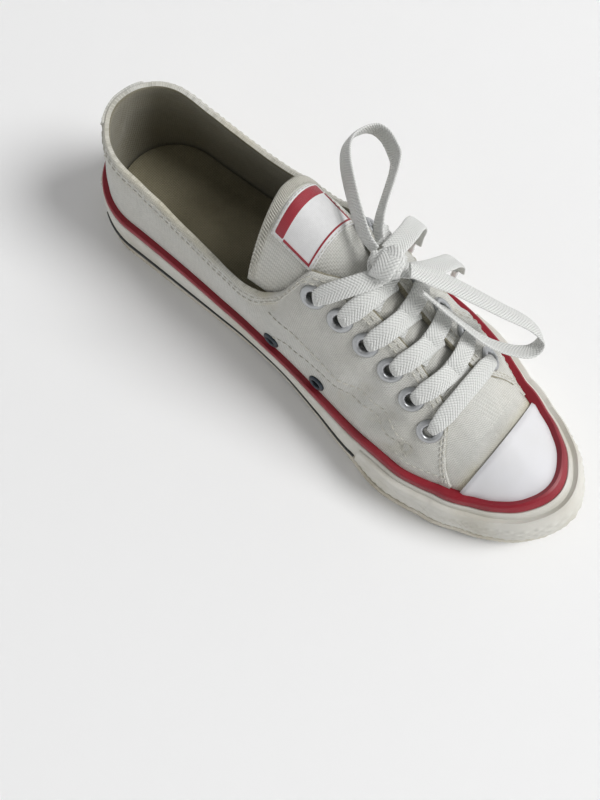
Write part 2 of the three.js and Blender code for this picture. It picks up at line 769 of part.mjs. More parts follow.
const barStops = strand(eyeletAt(-1, eyeletCount - 1), eyeletAt(1, eyeletCount - 1), 10, (t) =>
  onEyelet - barDip * Math.sin(Math.PI * t),
);
barStops.forEach((stop, i) => {
  stop.width = lerp(laceWidth * 0.6, laceWidth, ease(0, 0.25, Math.min(i, 10 - i) / 10));
});
add("lace_bar", ribbon(barStops, laceThick), colour.lace, 0.9);
for (let row = 1; row < eyeletCount - 1; row++) {
  add(`lace_crossing_${row + 1}`, crossing(row), colour.lace, 0.9);
}

// Bow: the knot that the top laces run up to, its two loops and the two ends that hang on the lateral side.
// Routes are given as shares of the length, the ball width and the instep height.
const spotOf = ({ x, y, z }) => new THREE.Vector3(x * lastLength, y * ballWidth, z * instepHeight);
const knotCentre = { x: 0.556, y: 0.06, z: 1 };
// The knot with its two top runs, grown by a clearance where another piece is cut back from it
function knot(extra) {
  const ball = new THREE.IcosahedronGeometry(1, 1);
  ball.scale(knotLong + extra, knotWide + extra, knotHigh + extra);
  const centre = spotOf(knotCentre);
  ball.translate(centre.x, centre.y, centre.z);
  let body = toSolid(closed(ball));
  for (const side of [-1, 1]) {
    const to = { x: centre.x - knotLong * 0.6, y: centre.y + side * 2 };
    const stops = strand(eyeletAt(side, 0), to, 3, (t) => lerp(onEyelet, knotWide + 3, t));
    stops[stops.length - 1].width = laceWidth * 0.5;
    stops[stops.length - 1].spot = centre.clone();
    stops.forEach((stop) => (stop.width += 2 * extra));
    body = body.add(toSolid(ribbon(stops, laceThick + 2 * extra, squareCorners)));
  }
  return body;
}
const loopUp = [
  knotCentre,
  { x: 0.531, y: 0.08, z: 1.015 },
  { x: 0.502, y: 0.11, z: 1.025 },
  { x: 0.452, y: 0.227, z: 1.02 },
  { x: 0.394, y: 0.416, z: 0.94 },
  { x: 0.37, y: 0.565, z: 0.875 },
  { x: 0.377, y: 0.708, z: 0.83 },
  { x: 0.4, y: 0.734, z: 0.825 },
  { x: 0.431, y: 0.682, z: 0.845 },
  { x: 0.455, y: 0.591, z: 0.885 },
  { x: 0.495, y: 0.286, z: 0.985 },
  { x: 0.512, y: 0.19, z: 1.015 },
  { x: 0.529, y: 0.125, z: 1.03 },
  knotCentre,
];
const loopSide = [
  knotCentre,
  { x: 0.59, y: 0.11, z: 1.015 },
  { x: 0.645, y: 0.235, z: 0.91 },
  { x: 0.725, y: 0.37, z: 0.77 },
  { x: 0.775, y: 0.46, z: 0.67 },
  { x: 0.804, y: 0.465, z: 0.61 },
  { x: 0.798, y: 0.36, z: 0.6 },
  { x: 0.743, y: 0.235, z: 0.67 },
  { x: 0.672, y: 0.15, z: 0.82 },
  { x: 0.617, y: 0.1, z: 0.93 },
  knotCentre,
];
const endBack = [
  { x: 0.552, y: 0.135, z: 0.984 },
  { x: 0.551, y: 0.221, z: 0.96 },
  { x: 0.548, y: 0.325, z: 0.915 },
  { x: 0.538, y: 0.416, z: 0.845 },
  { x: 0.534, y: 0.494, z: 0.745 },
  { x: 0.531, y: 0.543, z: 0.63 },
  { x: 0.529, y: 0.548, z: 0.56 },
  { x: 0.529, y: 0.552, z: 0.46 },
];
const endSide = [
  { x: 0.569, y: 0.097, z: 0.95 },
  { x: 0.588, y: 0.156, z: 0.925 },
  { x: 0.602, y: 0.247, z: 0.875 },
  { x: 0.611, y: 0.377, z: 0.78 },
  { x: 0.614, y: 0.474, z: 0.685 },
  { x: 0.616, y: 0.545, z: 0.57 },
  { x: 0.617, y: 0.578, z: 0.46 },
];
const upright = new THREE.Vector3(0.3, 0.2, 0.93);
const flat = new THREE.Vector3(0.4, -0.9, 0.3);
const tilted = new THREE.Vector3(0.58, -0.31, 0.74);
const lengthwise = new THREE.Vector3(1, 0, 0);
function loose({ rows, count, from, to }, extra = 0) {
  const curve = new THREE.CatmullRomCurve3(rows.map(spotOf));
  const stops = curve.getSpacedPoints(count).map((spot, i) => ({
    spot,
    across: from.clone().lerp(to, i / count),
    width: laceWidth + 2 * extra,
  }));
  return toSolid(ribbon(stops, laceThick + 2 * extra, squareCorners));
}
const bow = {
  lace_loop_up: { rows: loopUp, count: 14, from: upright, to: upright },
  lace_loop_side: { rows: loopSide, count: 14, from: flat, to: tilted },
  lace_end_back: { rows: endBack, count: 7, from: lengthwise, to: lengthwise },
  lace_end_side: { rows: endSide, count: 7, from: lengthwise, to: lengthwise },
};
// Each loose piece is cut back from the knot and from the pieces before it, and its main run is kept
function bowPieces() {
  const taken = [knot(gap)];
  return Object.entries(bow).map(([name, piece]) => {
    let body = loose(piece);
    for (const other of taken) body = body.subtract(other);
    taken.push(loose(piece, gap));
    const [main] = body.decompose().sort((a, b) => b.volume() - a.volume());
    return [name, fromSolid(main)];
  });
}
function tip(rows) {
  const end = spotOf(rows[rows.length - 1]);
  const tube = new THREE.CylinderGeometry(tipRadius, tipRadius, tipLong, 6);
  tube.rotateX(Math.PI / 2);
  tube.translate(end.x, end.y, end.z - gap - tipLong / 2);
  return closed(tube);
}
add("lace_knot", fromSolid(knot(0)), colour.lace, 0.9);

// Origin under the middle of the shoe, on the plane that it stands on. The loose laces don't move it.
const box = new THREE.Box3().setFromObject(shoe);
shoe.position.set(-(box.min.x + box.max.x) / 2, -(box.min.y + box.max.y) / 2, -box.min.z);
for (const [name, geometry] of bowPieces()) add(name, geometry, colour.lace, 0.9);
add("lace_tip_back", tip(endBack), colour.lace, 0.4);
add("lace_tip_side", tip(endSide), colour.lace, 0.4);

export default shoe;
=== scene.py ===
import math

import bmesh
import bpy
import numpy as np
from mathutils import Matrix, Vector


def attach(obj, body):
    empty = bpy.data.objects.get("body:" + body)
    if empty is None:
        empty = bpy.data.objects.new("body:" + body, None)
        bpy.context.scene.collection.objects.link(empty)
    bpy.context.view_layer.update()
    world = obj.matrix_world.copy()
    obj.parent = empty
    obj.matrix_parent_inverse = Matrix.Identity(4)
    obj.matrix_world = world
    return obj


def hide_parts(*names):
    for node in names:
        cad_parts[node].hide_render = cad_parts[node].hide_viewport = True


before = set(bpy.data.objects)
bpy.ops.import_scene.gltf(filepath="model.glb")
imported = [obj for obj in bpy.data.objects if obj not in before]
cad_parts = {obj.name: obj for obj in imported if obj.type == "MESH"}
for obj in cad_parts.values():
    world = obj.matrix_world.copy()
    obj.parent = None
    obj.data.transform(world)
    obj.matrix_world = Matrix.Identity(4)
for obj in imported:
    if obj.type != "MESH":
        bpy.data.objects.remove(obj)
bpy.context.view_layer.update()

# Sizes of the shoe, the same as in its solids
LENGTH, BALL, INSTEP = 260.0, 77.0, 100.0
HEEL_X, TOE_X = 28.0, 216.0
TOE_REACH = LENGTH - TOE_X
GAP = 0.3
OUTSOLE, SPRING, SPRING_X, ARCH = 6.5, 8.5, 0.769 * LENGTH, 1.6
ARCH_START, ARCH_END, ARCH_EASE = 0.323 * LENGTH, 0.6 * LENGTH, 0.1 * LENGTH
VAMP, QUARTER, CAP, STAY, FOXING, STRIPE = 1.3, 2.2, 1.6, 0.9, 3.2, 2.8
LINE, BUMPER, PLATE = 0.7, 2.5, 1.0
FOXING_TOP, STRIPE_HIGH = 25.0, 3.6
THROAT, CAP_X, BUMPER_X, LOBE_X = 0.7615 * LENGTH, TOE_X, 0.6846 * LENGTH, 0.396 * LENGTH
CAP_EDGE = 0.8596 * LENGTH
WING_X = CAP_EDGE - 3
EYELET_X, PITCH, INSET, EYELETS = 0.4904 * LENGTH, 0.0531 * LENGTH, 9.5, 6
LACE, LACE_THICK, TONGUE_GAP, TONGUE = 9.0, 1.6, 1.1, 2.6
TONGUE_BACK, TONGUE_FRONT = 0.3692 * LENGTH, 0.7846 * LENGTH
# Where the middle of the solids' box lies in the sizes above
MIDDLE_X, MIDDLE_Y = 131.27, -2.03

HEEL_ARC, TOE_ARC = HEEL_X * math.pi / 2, TOE_REACH * math.pi / 2


def heel(degrees):
    return HEEL_X * math.radians(degrees)


def along(x):
    return HEEL_ARC + x - HEEL_X


def toe(degrees):
    return along(TOE_X) + TOE_REACH * math.radians(degrees)


def share(part):
    return along(part * LENGTH)


END = toe(90)


def x_of(at):
    """Place along the shoe of a place on its outline, on the straight part of that."""
    return at - HEEL_ARC + HEEL_X


def together(*values):
    """Values as arrays of one shape."""
    return np.broadcast_arrays(*[np.asarray(value, float) for value in values])


def bell(value, width):
    return np.exp(-((value / width) ** 2))


def travelled(path):
    """Length along a path up to each of its points."""
    return np.concatenate([[0], np.cumsum(np.linalg.norm(np.diff(path, axis=0), axis=1))])


def squares_of(index):
    """The faces between neighbours in a grid of point numbers."""
    return np.stack([index[:-1, :-1], index[1:, :-1], index[1:, 1:], index[:-1, 1:]], -1)


# Half sections of the last: place, medial and lateral half width, wall, lean, arch and shoulder
SECTIONS = np.array([
    (heel(0), 0.364, 0.364, 0.3, 0.04, 0, 0.72),
    (heel(45), 0.36, 0.36, 0.31, 0.03, 0, 0.66),
    (heel(90), 0.355, 0.355, 0.33, 0.015, 0, 0.6),
    (share(0.23), 0.355, 0.37, 0.35, 0.02, 0.02, 0.6),
    (share(0.35), 0.35, 0.395, 0.36, 0.03, 0.07, 0.64),
    (share(0.46), 0.365, 0.43, 0.35, 0.04, 0.1, 0.62),
    (share(0.58), 0.42, 0.47, 0.3, 0.035, 0.05, 0.6),
    (share(0.68), 0.472, 0.49, 0.26, 0.03, 0, 0.6),
    (share(0.75), 0.468, 0.472, 0.24, 0.025, 0, 0.62),
    (share(0.8), 0.43, 0.428, 0.2, 0.025, 0, 0.64),
    (toe(0), 0.396, 0.393, 0.18, 0.025, 0, 0.66),
    (toe(25), 0.379, 0.376, 0.17, 0.03, 0, 0.66),
    (toe(50), 0.43, 0.426, 0.17, 0.03, 0, 0.66),
    (toe(70), 0.51, 0.508, 0.165, 0.035, 0, 0.66),
    (toe(90), 0.571, 0.571, 0.165, 0.035, 0, 0.66),
])
RIDGE = np.array([
    (0, 1.2), (0.11, 1.2), (0.23, 1.18), (0.35, 1.12), (0.46, 0.99), (0.58, 0.835),
    (0.68, 0.7), (0.75, 0.605), (0.83, 0.5), (0.92, 0.41),
])
MIDDLE = np.array([(0, 0), (0.25, 0.01), (0.45, 0.012), (0.65, -0.01), (0.85, -0.06), (1, -0.075)])
COLLAR = np.array([
    (heel(0), 0.73), (heel(50), 0.715), (share(0.15), 0.655), (share(0.25), 0.6),
    (share(0.33), 0.585), (share(0.4), 0.62), (share(0.44), 0.73), (share(0.47), 0.9),
])
OPENING = np.array([
    (0.42, 0.12), (0.49, 0.1), (0.58, 0.085), (0.65, 0.08), (0.7, 0.095), (0.757, 0.13), (0.78, 0.2),
])
TONGUE_HALF = np.array([(0, 0.338), (0.3, 0.338), (0.75, 0.312), (1, 0.247)])


def column(rows, at, name=1):
    """Value of a column on a smooth curve that never overshoots its rows."""
    x, y = rows[:, 0].astype(float), rows[:, name].astype(float)
    rise = np.diff(y) / np.diff(x)
    tangent = np.zeros(len(x))
    before, after = rise[:-1], rise[1:]
    both = before * after > 0
    safe = np.where(both, before + after, 1)
    tangent[1:-1] = np.where(both, 2 * before * after / safe, 0)
    at = np.clip(np.asarray(at, float), x[0], x[-1])
    k = np.clip(np.searchsorted(x, at, side="left") - 1, 0, len(x) - 2)
    span = x[k + 1] - x[k]
    t = (at - x[k]) / span
    blend = t * t * (3 - 2 * t)
    bend = span * t * (1 - t) * ((1 - t) * tangent[k] - t * tangent[k + 1])
    return y[k] + (y[k + 1] - y[k]) * blend + bend


def ease(low, high, value):
    t = np.clip((np.asarray(value, float) - low) / (high - low), 0, 1)
    return t * t * (3 - 2 * t)


def floor_at(x):
    arch = ARCH * ease(ARCH_START, ARCH_START + ARCH_EASE, x) * (1 - ease(ARCH_END - ARCH_EASE, ARCH_END, x))
    forward = np.maximum(0, x - SPRING_X) / (LENGTH - SPRING_X)
    return arch + SPRING * forward**1.8


def middle_at(x):
    return column(MIDDLE, np.asarray(x) / LENGTH) * BALL


def crest_at(x):
    return column(RIDGE, np.asarray(x) / LENGTH) * INSTEP


def crest_slope(x):
    return crest_at(x + 0.5) - crest_at(x - 0.5)


def stand(side, at):
    """Foot of a half section on the middle line, and its direction in plan."""
    back = np.clip(1 - at / HEEL_ARC, 0, 1) * math.pi / 2
    front = np.clip((x_of(at) - TOE_X) / TOE_ARC, 0, 1) * math.pi / 2
    x = np.clip(x_of(at), HEEL_X, TOE_X)
    dx = np.sin(front) - np.sin(back)
    dy = side * np.where(at < HEEL_ARC, np.cos(back), np.cos(front))
    return x, dx, dy


def last(side, at, v):
    """Point of the last: v runs from the sole's edge, 0, up the wall to the middle line, 1."""
    side, at, v = together(side, at, v)
    x, dx, dy = stand(side, at)
    half = np.where(side < 0, column(SECTIONS, at, 1), column(SECTIONS, at, 2)) * BALL
    crest = crest_at(x)
    lean = (column(SECTIONS, at, 4) + np.where(side < 0, column(SECTIONS, at, 5), 0)) * BALL
    wall = column(SECTIONS, at, 3) * INSTEP
    shoulder = column(SECTIONS, at, 6) * half
    foot = floor_at(x + dx * half) + OUTSOLE + GAP
    u = 1 - v
    reach = u**3 * half + 3 * u * u * v * (half + lean) + 3 * u * v * v * shoulder
    brow = crest + crest_slope(x) * shoulder * dx
    z = u**3 * foot + 3 * u * u * v * (foot + wall) + 3 * u * v * v * brow + v**3 * crest
    return np.stack([x + dx * reach, middle_at(x) + dy * reach, z], -1)


def skin(side, at, v, out):
    """Point at a distance out from the last, along its normal."""
    side, at, v, out = together(side, at, v, out)
    x, dx, dy = stand(side, at)
    step = 0.02
    way = last(side, np.minimum(at + step, END), v) - last(side, np.maximum(at - step, 0), v)
    level = np.stack([np.zeros_like(side), side, np.zeros_like(side)], -1)
    way = np.where(((at < step) | (at > END - step))[..., None], level, way)
    up = last(side, at, np.minimum(v + step, 1)) - last(side, at, np.maximum(v - step, 0))
    normal = np.cross(way, up)
    normal[..., 2] *= ease(0, 0.12, v)
    flip = normal[..., 0] * dx + normal[..., 1] * dy + normal[..., 2] < 0
    normal = np.where(flip[..., None], -normal, normal)
    crown = np.stack([-crest_slope(x), np.zeros_like(x), np.ones_like(x)], -1)
    normal = np.where((v > 0.999)[..., None], crown, normal)
    normal = normal / np.linalg.norm(normal, axis=-1, keepdims=True)
    return last(side, at, v) + normal * out[..., None]


def seek(measure, value, shape):
    """Share v of a half section where a rising measure first reaches a value."""
    low, high = np.zeros(shape), np.ones(shape)
    for _ in range(26):
        mid = (low + high) / 2
        below = measure(mid) < value
        low, high = np.where(below, mid, low), np.where(below, high, mid)
    return (low + high) / 2


def share_at_height(side, at, height):
    side, at, height = together(side, at, height)

    def rise(v):
        point = last(side, at, v)
        return point[..., 2] - floor_at(point[..., 0])

    return seek(rise, height, at.shape)


def share_at_level(side, at, z):
    side, at, z = together(side, at, z)
    return seek(lambda v: last(side, at, v)[..., 2], z, at.shape)


def share_at_reach(side, at, half):
    side, at, half = together(side, at, half)
    x = x_of(at)
    return seek(lambda v: -np.abs(last(side, at, v)[..., 1] - middle_at(x)), -half, at.shape)


def opening_half(x):
    return column(OPENING, np.minimum(x, THROAT) / LENGTH) * BALL


def quarter_edge(side, at):
    """Upper edge of the quarter: collar line, lobe, facing edge, then the wing to the toe cap."""
    x = x_of(at)
    collar = share_at_level(side, at, column(COLLAR, at) * INSTEP)
    facing = share_at_reach(side, at, opening_half(x))
    soft = 0.03
    blend = np.clip(0.5 + (collar - facing) / (2 * soft), 0, 1)
    edge = collar + (facing - collar) * blend - soft * blend * (1 - blend)
    edge = np.where(x < LOBE_X, collar, np.minimum(edge, 1))
    low = share_at_height(side, at, FOXING_TOP + STRIPE_HIGH + 1.5)
    wing = ease(THROAT - 2, WING_X + 2, x)
    return np.where(x < THROAT, edge, edge + (low - edge) * wing)


def over(x, y, out):
    """Point over the foot at a plan place, measured out from the last."""
    x, y, out = together(x, y, out)
    side = np.where(y < 0, -1.0, 1.0)
    at = along(x)
    v = np.where(np.abs(y) < 0.01, 1.0, share_at_reach(side, at, np.abs(y)))
    return skin(side, at, v, out)


def stack_at(at):
    """How far out the layers under the foxing reach."""
    cap = VAMP + GAP + CAP
    return QUARTER + (cap - QUARTER) * ease(along(CAP_X) - 18, along(CAP_X) + 9, at) + GAP


def placed(points):
    """Millimetres of the shoe to metres of the frame."""
    points = np.asarray(points, float)
    return (points - np.array([MIDDLE_X, MIDDLE_Y, 0])) / 1000


# Meshes. Every piece is a closed skin over a grid, or a set of tubes.
def build(name, points, faces, uvs=None, soil_and_shade=None, sharp=38, merge=0.00001):
    """An object from points in millimetres. uvs are millimetres on the cloth, and the darkening mark is 0
    clean to 1 grey: dirt and wear, and painted shade in creases and under the hem.
    """
    mesh = bpy.data.meshes.new(name)
    mesh.from_pydata(placed(points).tolist(), [], [list(map(int, face)) for face in faces])
    if uvs is not None:
        layer = mesh.uv_layers.new(name="cloth")
        index = np.empty(len(mesh.loops), dtype=np.int32)
        mesh.loops.foreach_get("vertex_index", index)
        layer.data.foreach_set("uv", (np.asarray(uvs, float)[index] / 1000).astype(np.float32).ravel())
    if soil_and_shade is not None:
        mark = mesh.attributes.new("soil_and_shade", "FLOAT", "POINT")
        mark.data.foreach_set("value", np.asarray(soil_and_shade, np.float32).ravel())
    work = bmesh.new()
    work.from_mesh(mesh)
    bmesh.ops.remove_doubles(work, verts=work.verts, dist=merge)
    bmesh.ops.dissolve_degenerate(work, dist=merge / 10, edges=work.edges)
    bmesh.ops.recalc_face_normals(work, faces=work.faces)
    if work.calc_volume(signed=True) < 0:
        bmesh.ops.reverse_faces(work, faces=work.faces)
    work.to_mesh(mesh)
    work.free()
    mesh.polygons.foreach_set("use_smooth", [True] * len(mesh.polygons))
    mesh.set_sharp_from_angle(angle=math.radians(sharp))
    piece = bpy.data.objects.new(name, mesh)
    bpy.context.scene.collection.objects.link(piece)
    return piece


def shell(name, outer, inner, uv, soil_and_shade=None, open_sides=(), sharp=38, gaps=None):
    """A closed skin between two grids of points. open_sides names the sides that meet themselves, and
    gaps marks the squares that are left out, as holes through both grids."""
    columns, rows = outer.shape[:2]
    count = columns * rows
    index = np.arange(count).reshape(columns, rows)
    squares = squares_of(index)
    if gaps is None:
        gaps = np.zeros(squares.shape[:2], bool)
    front = squares[~gaps]
    faces = [front, front[:, ::-1] + count]
    along_hole, up_hole = gaps[1:] != gaps[:-1], gaps[:, 1:] != gaps[:, :-1]
    for first, second in (
        (index[1:-1, :-1][along_hole], index[1:-1, 1:][along_hole]),
        (index[:-1, 1:-1][up_hole], index[1:, 1:-1][up_hole]),
    ):
        faces.append(np.stack([first, second, second + count, first + count], 1))
    sides = {
        "foot": (index[:-1, 0], index[1:, 0]),
        "top": (index[1:, -1], index[:-1, -1]),
        "start": (index[0, 1:], index[0, :-1]),
        "end": (index[-1, :-1], index[-1, 1:]),
    }
    for side, (first, second) in sides.items():
        if side not in open_sides:
            faces.append(np.stack([second, first, first + count, second + count], 1))
    points = np.concatenate([outer.reshape(-1, 3), inner.reshape(-1, 3)])
    uvs = np.concatenate([uv.reshape(-1, 2)] * 2)
    marks = None if soil_and_shade is None else np.concatenate([soil_and_shade.ravel()] * 2)
    return build(name, points, np.concatenate(faces), uvs, marks, sharp)


def cloth_grid(outer):
    """Lengths along and up a grid, for the threads of the cloth."""
    up = np.linalg.norm(np.diff(outer, axis=1), axis=2)
    up = np.concatenate([np.zeros((len(outer), 1)), np.cumsum(up, axis=1)], 1)
    middle = outer[:, outer.shape[1] // 2]
    run = travelled(middle)
    return np.stack([np.repeat(run[:, None], outer.shape[1], 1), up], -1)


def round_places(low, high, step, whole=False):
    """Places from low to high on the medial side, then back on the lateral side."""
    ats = np.linspace(low, high, max(2, int(round((high - low) / step)) + 1))
    side = np.concatenate([-np.ones(len(ats)), np.ones(len(ats) - (1 if whole else 0))])
    both = np.concatenate([ats, ats[::-1][1:] if whole else ats[::-1]])
    return side[:, None], both[:, None]


def behind(limit, step):
    """Places from the front limit on the lateral side, round the heel, to the same on the medial side."""
    ats = np.linspace(0, limit, int(round(limit / step)) + 1)
    side = np.concatenate([np.ones(len(ats)), -np.ones(len(ats) - 1)])
    return side[:, None], np.concatenate([ats[::-1], ats[1:]])[:, None]


def ahead(limit, step):
    """Places from a limit on the medial side, round the toe, to the same on the lateral side."""
    return round_places(limit, END, step, whole=True)


def ribbon(name, path, across, width, thick, corners=16, soft=2.6):
    """A flat lace along a path. across gives the way over its width, and soft how full its edges are."""
    path = np.asarray(path, float)
    way = np.gradient(path, axis=0)
    way /= np.linalg.norm(way, axis=1, keepdims=True)
    across = np.broadcast_to(np.asarray(across, float), path.shape)
    side = across - way * np.sum(across * way, 1, keepdims=True)
    side /= np.linalg.norm(side, axis=1, keepdims=True)
    up = np.cross(way, side)
    width = np.broadcast_to(np.asarray(width, float), len(path))
    turn = np.linspace(0, 2 * math.pi, corners, endpoint=False)
    wide = np.sign(np.cos(turn)) * np.abs(np.cos(turn)) ** (2 / soft)
    high = np.sign(np.sin(turn)) * np.abs(np.sin(turn)) ** (2 / soft)
    run = travelled(path)
    rings = (
        path[:, None]
        + side[:, None] * (wide[None, :, None] * width[:, None, None] / 2)
        + up[:, None] * (high[None, :, None] * thick / 2)
    )
    count = len(path)
    ends = np.stack([path[0], path[-1]])
    points = np.concatenate([rings.reshape(-1, 3), ends])
    index = np.arange(count * corners).reshape(count, corners)
    nxt = np.roll(index, -1, 1)
    faces = np.stack([index[:-1], nxt[:-1], nxt[1:], index[1:]], -1).reshape(-1, 4).tolist()
    for k in range(corners):
        faces.append([count * corners, int(nxt[0, k]), int(index[0, k])])
        faces.append([count * corners + 1, int(index[-1, k]), int(nxt[-1, k])])
    uv = np.stack([np.repeat(run[:, None], corners, 1), wide[None] * width[:, None] / 2], -1).reshape(-1, 2)
    uv = np.concatenate([uv, [[run[0], 0], [run[-1], 0]]])
    return build(name, points, faces, uv, sharp=70)


def smooth(points, count):
    """A smooth curve through points, with equal steps along it."""
    points = np.asarray(points, float)
    padded = np.concatenate([[2 * points[0] - points[1]], points, [2 * points[-1] - points[-2]]])
    fine = []
    for k in range(1, len(padded) - 2):
        a, b, c, d = padded[k - 1 : k + 3]
        t = np.linspace(0, 1, 24, endpoint=False)[:, None]
        fine.append(
            0.5 * (2 * b + (c - a) * t + (2 * a - 5 * b + 4 * c - d) * t**2 + (3 * b - a - 3 * c + d) * t**3)
        )
    fine = np.concatenate([*fine, points[-1:]])
    run = travelled(fine)
    spots = np.linspace(0, run[-1], count)
    return np.stack([np.interp(spots, run, fine[:, k]) for k in range(3)], 1)


def lathe(name, spots, profile, out, turns=28):
    """Turned rings that stand on the quarter, each with its axis along the quarter's normal."""
    points, faces = [], []
    profile = np.asarray(profile, float)
    for side, at, v in spots:
        base = skin(side, at, v, out)
        axis = Vector(skin(side, at, v, out + 1) - base).normalized()
        turn = np.array(Vector((0, 0, 1)).rotation_difference(axis).to_matrix())
        angle = np.linspace(0, 2 * math.pi, turns, endpoint=False)
        ring = np.stack([
            profile[None, :, 0] * np.cos(angle)[:, None],
            profile[None, :, 0] * np.sin(angle)[:, None],
            np.repeat(profile[None, :, 1], turns, 0),
        ], -1)
        start = len(points)
        points.extend((ring.reshape(-1, 3) @ turn.T + base).tolist())
        rows = len(profile)
        for i in range(turns):
            for j in range(rows):
                a, b = i * rows + j, i * rows + (j + 1) % rows
                c, d = (i + 1) % turns * rows + (j + 1) % rows, (i + 1) % turns * rows + j
                faces.append([start + a, start + b, start + c, start + d])
    return build(name, points, faces, sharp=60, merge=0.0000001)


def stitches(name, lines, pitch=3.2, thread=0.7, long=2.5):
    """Rows of sewn stitches. Each line is (points, normals) in millimetres."""
    points, faces = [], []
    rings = np.array([(-1, 0.35), (-0.6, 0.9), (0, 1), (0.6, 0.9), (1, 0.35)])
    corners = 6
    turn = np.linspace(0, 2 * math.pi, corners, endpoint=False)
    for path, normals in lines:
        run = travelled(path)
        count = int(run[-1] / pitch)
        for k in range(count):
            middle = (k + 0.5) * run[-1] / max(count, 1)
            here = np.array([np.interp(middle, run, path[:, m]) for m in range(3)])
            fore = np.array([np.interp(middle + 0.8, run, path[:, m]) for m in range(3)])
            rear = np.array([np.interp(middle - 0.8, run, path[:, m]) for m in range(3)])
            up = np.array([np.interp(middle, run, normals[:, m]) for m in range(3)])
            way = (fore - rear) / max(np.linalg.norm(fore - rear), 1e-6)
            up = up - way * np.dot(up, way)
            up /= np.linalg.norm(up)
            side = np.cross(way, up)
            start = len(points)
            for reach, fat in rings:
                centre = here + way * reach * long / 2 + up * (0.12 - 0.28 * reach * reach)
                for angle in turn:
                    points.append(centre + (side * math.cos(angle) + up * math.sin(angle)) * fat * thread / 2)
            for j in range(len(rings) - 1):
                for i in range(corners):
                    a, b = start + j * corners + i, start + j * corners + (i + 1) % corners
                    faces.append([a, b, b + corners, a + corners])
            faces.append([start + i for i in range(corners)][::-1])
            faces.append([start + (len(rings) - 1) * corners + i for i in range(corners)])
    return build(name, np.array(points), faces, sharp=80, merge=0.0000001)


# Materials
def linear(code):
    """Colour from an sRGB hex value."""
    parts = [int(code[k : k + 2], 16) / 255 for k in (1, 3, 5)]
    return tuple([p / 12.92 if p <= 0.04045 else ((p + 0.055) / 1.055) ** 2.4 for p in parts] + [1.0])


def node(tree, kind, links=None, **settings):
    """Adds a node with its settings. links gives sockets, or values for sockets, by name or number."""
    made = tree.nodes.new(kind)
    for key, value in settings.items():
        setattr(made, key, value)
    for key, value in (links or {}).items():
        if isinstance(value, bpy.types.NodeSocket):
            tree.links.new(value, made.inputs[key])
        else:
            made.inputs[key].default_value = value
    return made


def start(name, **values):
    """A new material with its shader. values are set on the shader's own sockets."""
    made = bpy.data.materials.new(name)
    made.use_nodes = True
    tree = made.node_tree
    shader = tree.nodes["Principled BSDF"]
    for key, value in values.items():
        shader.inputs[key.replace("_", " ")].default_value = value
    return made, tree, shader


def tinted(tree, shader, base, other, factor):
    """Links a colour between base and other to the shader."""
    mix = node(tree, "ShaderNodeMix", {0: factor, 6: linear(base), 7: linear(other)}, data_type="RGBA")
    tree.links.new(mix.outputs[2], shader.inputs["Base Color"])
    return mix


def maths(tree, operation, *values):
    """Result of a math node. Each value is a socket or a number."""
    return node(tree, "ShaderNodeMath", dict(enumerate(values)), operation=operation).outputs[0]


def spread(tree, *values):
    """A value taken from one range to another: value, low, high, new low, new high."""
    return node(tree, "ShaderNodeMapRange", dict(enumerate(values))).outputs[0]


def noise(tree, scale, detail=2.0):
    """Noise in the piece's own space."""
    where = node(tree, "ShaderNodeTexCoord")
    settings = {"Vector": where.outputs["Object"], "Scale": scale, "Detail": detail}
    return node(tree, "ShaderNodeTexNoise", settings).outputs[0]


def bumped(tree, shader, height, strength, distance):
    bump = node(tree, "ShaderNodeBump", {"Height": height, "Strength": strength, "Distance": distance})
    tree.links.new(bump.outputs[0], shader.inputs["Normal"])


def cloth_ways(tree):
    """Millimetres along and across the cloth, as sockets in metres."""
    cloth = node(tree, "ShaderNodeUVMap", uv_map="cloth")
    return node(tree, "ShaderNodeSeparateXYZ", {0: cloth.outputs[0]}).outputs


def woven(name, base, shade, soil_and_shade_colour, thread, deep, roughness, sheen=0.2, wear=0.0):
    """Woven cotton. thread is the spacing of its threads in millimetres."""
    made, tree, shader = start(name, Roughness=roughness, IOR=1.5, Sheen_Weight=sheen, Sheen_Roughness=0.5)
    ways = cloth_ways(tree)
    turns = 1000 * math.pi / thread
    waves = [maths(tree, "SINE", maths(tree, "MULTIPLY", ways[axis], turns)) for axis in (0, 1)]
    over_under = maths(tree, "GREATER_THAN", maths(tree, "MULTIPLY", *waves), 0.0)
    hills = [maths(tree, "ABSOLUTE", wave) for wave in waves]
    weave = node(tree, "ShaderNodeMix", {0: over_under, 2: hills[0], 3: hills[1]}).outputs[0]
    height = maths(tree, "MULTIPLY_ADD", noise(tree, 420.0), 0.5, weave)
    bumped(tree, shader, height, 0.55, deep / 1000)
    mixed = tinted(tree, shader, base, shade, spread(tree, height, 0.2, 1.3, 1.0, 0.0))
    # The soil mark and the wear mottling darken the cloth towards its soiled colour: dirt and wear, and on
    # the quarters also painted shade in the creases and under the hem.
    soil_and_shade = node(tree, "ShaderNodeAttribute", attribute_name="soil_and_shade").outputs["Fac"]
    patch = spread(tree, noise(tree, 28.0, 5.0), 0.35, 0.75, 0.3, 1.0)
    amount = maths(tree, "MULTIPLY", maths(tree, "MAXIMUM", soil_and_shade, wear), patch)
    layers = {0: amount, 6: mixed.outputs[2], 7: linear(soil_and_shade_colour)}
    worn = node(tree, "ShaderNodeMix", layers, data_type="RGBA")
    tree.links.new(worn.outputs[2], shader.inputs["Base Color"])
    return made


def moulded(name, base, other, roughness, grain=0.6, deep=0.04, coat=0.0, smudge=0.5):
    """Vulcanised rubber, moulded. grain is the size in millimetres of its fine skin."""
    made, tree, shader = start(name, IOR=1.52, Coat_Weight=coat, Coat_Roughness=0.25)
    cloud = noise(tree, 45.0, 6.0)
    tinted(tree, shader, base, other, spread(tree, cloud, 0.45, 0.72, 0.0, smudge))
    rough = spread(tree, cloud, 0.3, 0.7, roughness - 0.06, roughness + 0.08)
    tree.links.new(rough, shader.inputs["Roughness"])
    bumped(tree, shader, noise(tree, 1000 / grain), 0.5, deep / 1000)
    return made


